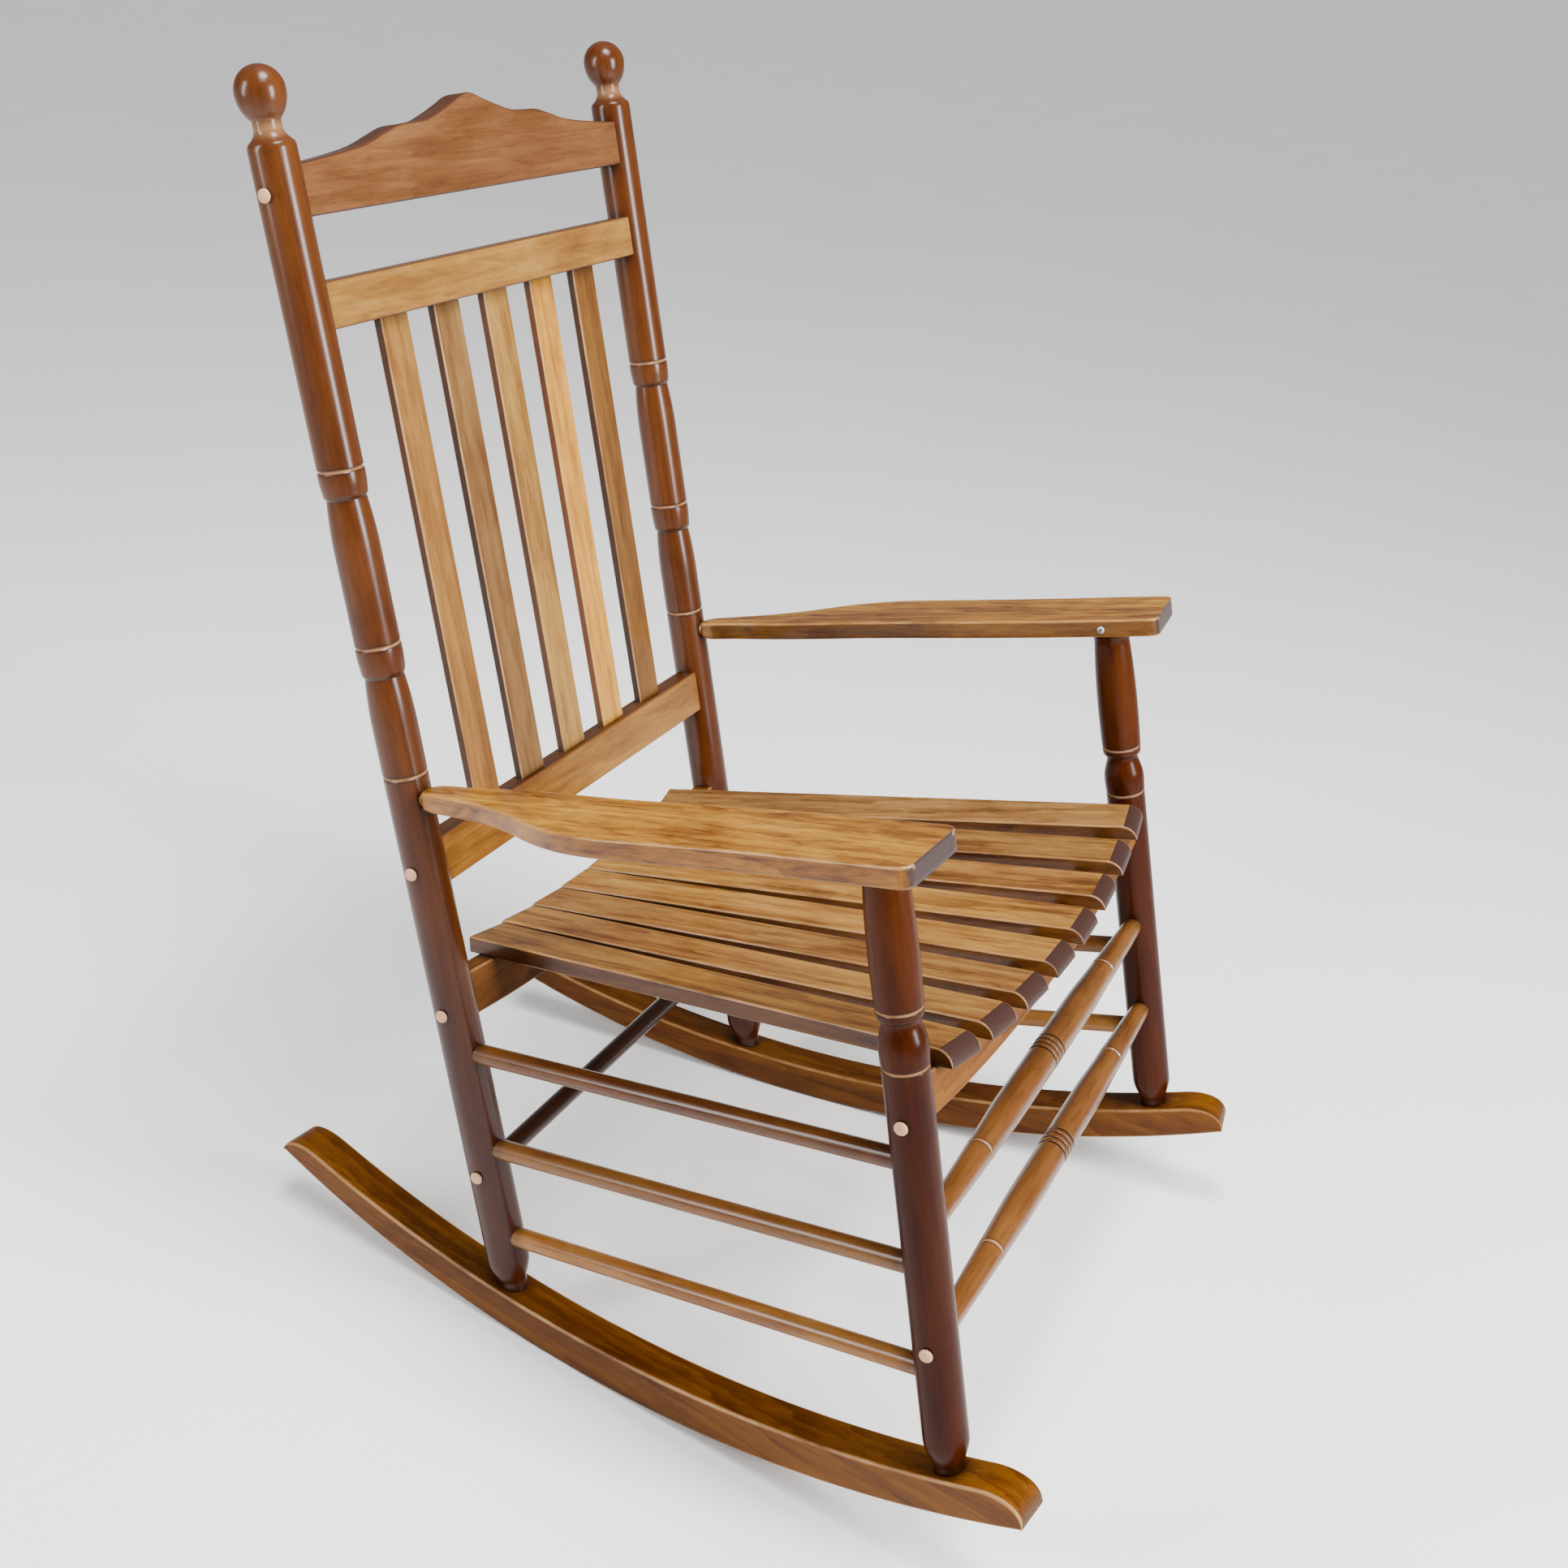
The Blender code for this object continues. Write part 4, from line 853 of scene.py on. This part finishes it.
for name, plane, foot, splay, lean, top_s, low_s, seed, base in (
    ("front_seat_rail", FRONT_PLANE, FRONT_FOOT, FRONT_SPLAY, FRONT_LEAN, FRONT_SEAT, 0.2817, 91.0,
     (0.120, 0.040, 0.005)),
    # painted shade: the rear seat rail's base colour is darker than the front one's, as under the seat
    ("rear_seat_rail", BACK_PLANE, BACK_FOOT, BACK_SPLAY, BACK_LEAN, REAR_SEAT, 0.2545, 94.0,
     (0.090, 0.030, 0.005)),
):
    reach = gauge(foot, splay, lean, top_s) - 0.003
    middle_line, *low_faces = [
        sorted(slat.crossing(plane, depth, hand) for slat in slats for hand in (-1.0, 1.0))
        for depth in (0.0, -0.5 * BOARD, 0.5 * BOARD)]
    grade = 2.0 * DISH * middle_line[-1][0]

    def top_line(x, lines):
        a = abs(x)
        best = []
        for line in lines:
            xs = [p[0] for p in line]
            if a >= xs[-1]:
                best.append(line[-1][1] + grade * (a - xs[-1]))
                continue
            for (x0, z0), (x1, z1) in zip(line, line[1:]):
                if x0 <= a <= x1:
                    best.append(z0 + (z1 - z0) * (a - x0) / max(1e-9, x1 - x0))
                    break
        return min(best) - 0.0002

    def rail_ring(z, inset, lines=low_faces, low=low_s):
        return rounded(-0.5 * BOARD + inset, 0.5 * BOARD - inset, low + 0.29 * z * z + inset,
                       top_line(z, lines) - inset, BOARD_EDGE)

    seat_rail_wood = wood(name + "_golden", base, seed, contrast=0.65, figure=1.0, roughness=0.55, coat=0.0,
                          wear_and_highlight=(0.30, 0.15, 0.06), patch=0.8, specular=0.05)
    board(name + "_sawn", softened_ends(span(-reach, reach, 0.008), rail_ring), plane, seat_rail_wood,
          name)


# ---------------------------------------------------------------- arms

ARM_THICK = 0.0175
ARM_INNER = ((0.020, 0.0100), (0.034, 0.0118), (0.060, 0.0125), (0.095, 0.0160), (0.130, 0.0175),
             (0.165, 0.0180), (0.200, 0.0180), (0.235, 0.0190), (0.290, 0.0220), (0.380, 0.0260),
             (0.440, 0.0265), (0.60, 0.0265))
ARM_OUTER = ((0.020, 0.0104), (0.034, 0.0122), (0.060, 0.0160), (0.095, 0.0222), (0.130, 0.0335),
             (0.165, 0.0490), (0.200, 0.0590), (0.235, 0.0620), (0.290, 0.0600), (0.380, 0.0570),
             (0.440, 0.0570), (0.60, 0.0570))


def arm_place(side):
    back = back_at(0.4812, side)
    under = front_at(0.5240, side)
    slope = math.atan2(under.z - back.z + 0.5 * ARM_THICK, back.y - under.y)
    up = Vector((0.0, math.sin(slope), math.cos(slope)))
    over = under + up * (0.5 * ARM_THICK)
    line = over - back
    line -= up * line.dot(up)
    reach = line.length
    line.normalize()
    outward = line.cross(up)
    if outward.x * side < 0.0:
        outward = -outward
    return back, line, up, outward, reach


for label, side in SIDES:
    back, line, up, outward, reach = arm_place(side)
    # local X across, local Y up, local Z forward along the arm
    across = up.cross(line)
    hand = 1.0 if across.dot(outward) > 0.0 else -1.0
    arm_frame = axes(across, up, line, back)
    tip = reach + 0.051
    half = 0.5 * ARM_THICK
    sections = []

    def arm_ring(z, inset=0.0, thickness=half, radius=0.0026):
        inner = curve_through(ARM_INNER, z) - inset
        outer = curve_through(ARM_OUTER, z) - inset
        low_x, high_x = (-inner, outer) if hand > 0.0 else (-outer, inner)
        return rounded(low_x, high_x, -thickness, thickness, radius)

    for z in (0.003, 0.0195):
        sections.append((z, rounded(-0.0082, 0.0082, -0.0082, 0.0082, 0.0080)))
    sections.append((0.0205, rounded(-0.0092, 0.0092, -0.0084, 0.0084, 0.0060)))
    for z in (0.0225, 0.026, 0.030):
        thickness = half - 0.0006 * (0.030 - z) / 0.0075
        sections.append((z, arm_ring(z, 0.0, thickness, 0.0040 - 0.14 * (z - 0.0225))))
    for z in span(0.034, tip - 0.010, 0.008):
        sections.append((z, arm_ring(z)))
    for degrees in (12.0, 24.0, 36.0, 48.0, 60.0, 71.0, 80.0):
        angle = math.radians(degrees)
        z = tip - 0.010 * (1.0 - math.sin(angle))
        sections.append((z, arm_ring(z, 0.010 * (1.0 - math.cos(angle)))))
    sections.append((tip - 0.0002, arm_ring(tip, 0.0090, half - 0.0004)))
    sections.append((tip, arm_ring(tip, 0.0100, half - 0.0022)))
    arm_wood = wood("arm_golden_" + label, (0.236, 0.098, 0.0105), 101.0 + 4.0 * side, contrast=0.95,
                    figure=0.7, roughness=0.32, coat=0.28, specular=0.16, patch=1.0, fleck=0.9,
                    wear_and_highlight=(0.42, 0.23, 0.09), end=(0.026, 0.011, 0.009), narrow=0.0,
                    narrow_tint=(0.74, 0.64, 0.50))

    # painted shade: the arm's inner side face is darker
    def inner_side_painted_shade(x, y, z, turn, hand=hand):
        return 0.55 * (1.0 - turn) if x * hand < 0.0 and z > 0.03 else 0.0

    board("arm_%s_shaped" % label, sections, arm_frame, arm_wood, "arm_" + label,
          painted_shade=inner_side_painted_shade, edge_mark_below=0.15)

    # a cross-recess screw in the inner edge, just ahead of the post
    screw_z = reach - 0.004
    inner = curve_through(ARM_INNER, screw_z)
    head = back + line * screw_z - outward * (inner - 0.0002) + up * -0.0012
    radius = 0.0037
    rows = [(-0.0008, radius, 0, 0, 0), (0.0002, radius, 0, 0, 0), (0.0008, radius * 0.93, 0, 0, 0),
            (0.0013, radius * 0.74, 0, 0, 0), (0.0015, radius * 0.48, 0, 0, 0)]
    screw_frame = along(-outward, head)
    turned("arm_screw_" + label, rows, 28, screw_frame, zinc("arm_screw_zinc_" + label), None)
    # the cross recess is a near-black cross set into the head: painted shade standing for a hollow
    points = []
    faces = []
    for turn in (0.0, 90.0):
        c, s = math.cos(math.radians(turn + 20.0)), math.sin(math.radians(turn + 20.0))
        start = len(points)
        for z in (0.0011, 0.00156):
            for x, y in ((-0.0021, -0.00034), (0.0021, -0.00034), (0.0021, 0.00034), (-0.0021, 0.00034)):
                points.append((c * x - s * y, s * x + c * y, z))
        for i in range(4):
            j = (i + 1) % 4
            faces.append((start + i, start + j, start + 4 + j, start + 4 + i))
        faces.append((start + 3, start + 2, start + 1, start))
        faces.append((start + 4, start + 5, start + 6, start + 7))
    recess_painted_shade = raw_wood("screw_recess_" + label, (0.03, 0.025, 0.022))
    piece("arm_screw_recess_" + label, points, faces, screw_frame, recess_painted_shade, None)


# ---------------------------------------------------------------- rockers

ROCKER_R = 1.078
ROCKER_TOP_R = 1.207

for label, side in SIDES:
    back = on_side(BACK_FOOT, side)
    front = on_side(FRONT_FOOT, side)
    run = Vector((front.x - back.x, front.y - back.y, 0.0))
    length = run.length
    run.normalize()
    floor_z = SHIFT.z
    touch = (SHIFT.y - back.y) / run.y
    rise = front.z - back.z
    chord = math.hypot(length, rise)
    drop = math.sqrt(ROCKER_TOP_R**2 - 0.25 * chord**2)
    top_t = 0.5 * length - drop * rise / chord
    top_z = 0.5 * (back.z + front.z) + drop * length / chord
    ends = (-0.278, length + 0.075)
    tip_length = 0.045

    def sole(t):
        # the level facet that the chair stands on keeps its flat, and blends into the arc
        arc = ROCKER_R - math.sqrt(ROCKER_R**2 - (t - touch) ** 2) + floor_z
        flat = ROCKER_R - math.sqrt(ROCKER_R**2 - 0.022**2) + floor_z
        return max(arc, flat)

    def crown(t):
        full = top_z - math.sqrt(ROCKER_TOP_R**2 - (t - top_t) ** 2)
        low_t = sole(t)
        u = max(t - ends[1] + tip_length, ends[0] + tip_length - t) / tip_length
        if u <= 0.0:
            return full
        return low_t + (full - low_t) * max(0.06, math.sqrt(max(0.0, 1.0 - u * u)))

    # local X sideways, local Y up, local Z along the rocker to the front
    across = Vector((0.0, 0.0, 1.0)).cross(run)
    rocker_frame = axes(across, Vector((0.0, 0.0, 1.0)), run, Vector((back.x, back.y, 0.0)))
    places = span(ends[0], ends[0] + 0.004, 0.0008) + span(ends[0] + 0.006, ends[0] + tip_length, 0.003)
    places += span(ends[0] + tip_length + 0.006, ends[1] - tip_length - 0.006, 0.008)
    places += span(ends[1] - tip_length, ends[1] - 0.006, 0.003) + span(ends[1] - 0.004, ends[1], 0.0008)

    def rocker_ring(t, inset=0.0):
        return rounded(-0.019 + inset, 0.019 - inset, sole(t), crown(t), 0.0030)

    rocker_wood = wood("rocker_olive_" + label, (0.095, 0.0300, 0.0020), 121.0 + 5.0 * side, contrast=0.65,
                       figure=1.1, roughness=0.40, coat=0.12, specular=0.07, patch=0.9,
                       wear_and_highlight=(0.40, 0.22, 0.09), end=(0.07, 0.030, 0.010))
    board("rocker_%s_sawn" % label, [(t, rocker_ring(t)) for t in places], rocker_frame, rocker_wood,
          "rocker_" + label)


# ---------------------------------------------------------------- plugs and hidden screws

PLUG_SPOTS = (("crest", "back", 0.98125), ("back_rail", "back", 0.41775),
              ("rear_seat_rail", "back", 0.2835), ("stretcher", "back", STRETCHER),
              ("front_seat_rail", "front", 0.3127), ("front_rung", "front", 0.1165))
PLUG_SHANK = 0.0046
PLUG_CAP = 0.0057
plug_wood = raw_wood("plug_bare", (0.47, 0.25, 0.14))
hidden_steel = zinc("screw_zinc")
for label, side in SIDES:
    for spot, row, station in PLUG_SPOTS:
        point = back_at(station, side) if row == "back" else front_at(station, side)
        frame_matrix = along(Vector((side, 0.0, 0.0)), point)
        base = POST + FIT
        rows = [(POST - 0.0065, PLUG_SHANK, 0, 0, 0), (base - 0.0004, PLUG_SHANK, 0, 0, 0),
                (base, 0.0049, 0, 0, 1.0), (base + 0.0003, 0.0055, 0, 0, 1.0), (base + 0.0008, PLUG_CAP, 0, 0, 0.6)]
        for degrees in span(0.0, 84.0, 12.0):
            angle = math.radians(degrees)
            height = base + 0.0012 + 0.0022 * math.sin(angle)
            rows.append((height, PLUG_CAP * math.cos(angle) ** 0.72, 0, 0, 0.0))
        turned("plug_%s_%s_button" % (spot, label), rows, 32, frame_matrix, plug_wood,
               "plug_%s_%s" % (spot, label))
        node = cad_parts["screw_%s_%s" % (spot, label)]
        node.data.materials.clear()
        node.data.materials.append(hidden_steel)


# ---------------------------------------------------------------- floor, light, camera

def floor_material():
    n = Nodes("pale_floor")
    place = n.add("ShaderNodeTexCoord").outputs["Object"]
    tone = n.noise(place, 3.0, 3.0, 0.5)
    colour = n.ramp(tone, [(0.2, (0.90, 0.90, 0.90)), (0.8, (0.94, 0.94, 0.94))])
    n.link(colour, n.shader.inputs["Base Color"])
    n.shader.inputs["Roughness"].default_value = 0.7
    n.shader.inputs["Specular IOR Level"].default_value = 0.2
    return n.material


floor_mesh = bpy.data.meshes.new("floor")
floor_mesh.from_pydata([(-200, -200, 0), (200, -200, 0), (200, 200, 0), (-200, 200, 0)], [], [(0, 1, 2, 3)])
floor_mesh.materials.append(floor_material())
floor = bpy.data.objects.new("floor", floor_mesh)
bpy.context.scene.collection.objects.link(floor)

world = bpy.data.worlds.new("studio")
bpy.context.scene.world = world
world.use_nodes = True
background = world.node_tree.nodes["Background"]
background.inputs["Color"].default_value = (1.0, 1.0, 1.0, 1.0)
background.inputs["Strength"].default_value = 0.26
backdrop = world.node_tree.nodes.new("ShaderNodeBackground")
backdrop.inputs["Color"].default_value = (1.0, 1.0, 1.0, 1.0)
backdrop.inputs["Strength"].default_value = 0.85
path = world.node_tree.nodes.new("ShaderNodeLightPath")
chosen = world.node_tree.nodes.new("ShaderNodeMixShader")
world.node_tree.links.new(path.outputs["Is Camera Ray"], chosen.inputs[0])
world.node_tree.links.new(background.outputs[0], chosen.inputs[1])
world.node_tree.links.new(backdrop.outputs[0], chosen.inputs[2])
world.node_tree.links.new(chosen.outputs[0], world.node_tree.nodes["World Output"].inputs[0])


def softbox(name, place, target, size_x, size_y, power):
    light = bpy.data.lights.new(name, "AREA")
    light.shape = "RECTANGLE"
    light.size = size_x
    light.size_y = size_y
    light.energy = power
    made = bpy.data.objects.new(name, light)
    bpy.context.scene.collection.objects.link(made)
    made.location = place
    made.rotation_euler = (Vector(target) - Vector(place)).to_track_quat("-Z", "Y").to_euler()


# the camera keeps its place relative to the chair; the chair itself stands tipped back on its rockers
TIP = math.radians(8.28)
TURN = Matrix(((1.0, 0.0, 0.0), (0.0, math.cos(TIP), math.sin(TIP)), (0.0, -math.sin(TIP), math.cos(TIP))))
HOME = Vector((0.0, BACK_FOOT.y, BACK_FOOT.z))


def seen(vector):
    return TURN @ Vector(vector)


right = seen((0.42766416, -0.90371419, -0.02010053))
down = seen((-0.31301255, -0.12719261, -0.94119349))
ahead = seen((0.84801327, 0.40880644, -0.3372696))
eye = seen((-1.4702, -0.9014, 1.1154)) + HOME
camera_data = bpy.data.cameras.new("camera")
camera_data.sensor_width = 36.0
camera_data.sensor_fit = "HORIZONTAL"
camera_data.lens = 44.74
camera_data.shift_x = -0.0119
camera_data.shift_y = -0.0634
camera_data.clip_start = 0.01
camera = bpy.data.objects.new("camera", camera_data)
bpy.context.scene.collection.objects.link(camera)
camera.matrix_world = axes(right, -down, -ahead, eye)
bpy.context.scene.camera = camera

middle = Vector((0.0, 0.0, 0.52))
level_right = Vector((right.x, right.y, 0.0)).normalized()
level_ahead = Vector((ahead.x, ahead.y, 0.0)).normalized()
left_box = middle - level_right * 1.9 - level_ahead * 0.9 + Vector((0.0, 0.0, 0.75))
softbox("left_box", left_box, middle, 0.35, 1.3, 46.0)
softbox("front_box", HOME + seen((-0.15, -3.0, 1.25)), HOME + seen((-0.24, 0.1, 0.85)), 0.70, 1.5, 190.0)
softbox("top_box", middle + Vector((0.0, 0.0, 2.3)) - level_ahead * 0.3, middle, 0.7, 0.7, 80.0)

sun = bpy.data.lights.new("broad_sky", "SUN")
sun.energy = 2.0
sun.angle = math.radians(24.0)
sun_object = bpy.data.objects.new("broad_sky", sun)
bpy.context.scene.collection.objects.link(sun_object)
sun_object.rotation_euler = (level_ahead * 0.75 - level_right * 0.55 - Vector((0.0, 0.0, 1.6))
                             ).to_track_quat("-Z", "Y").to_euler()
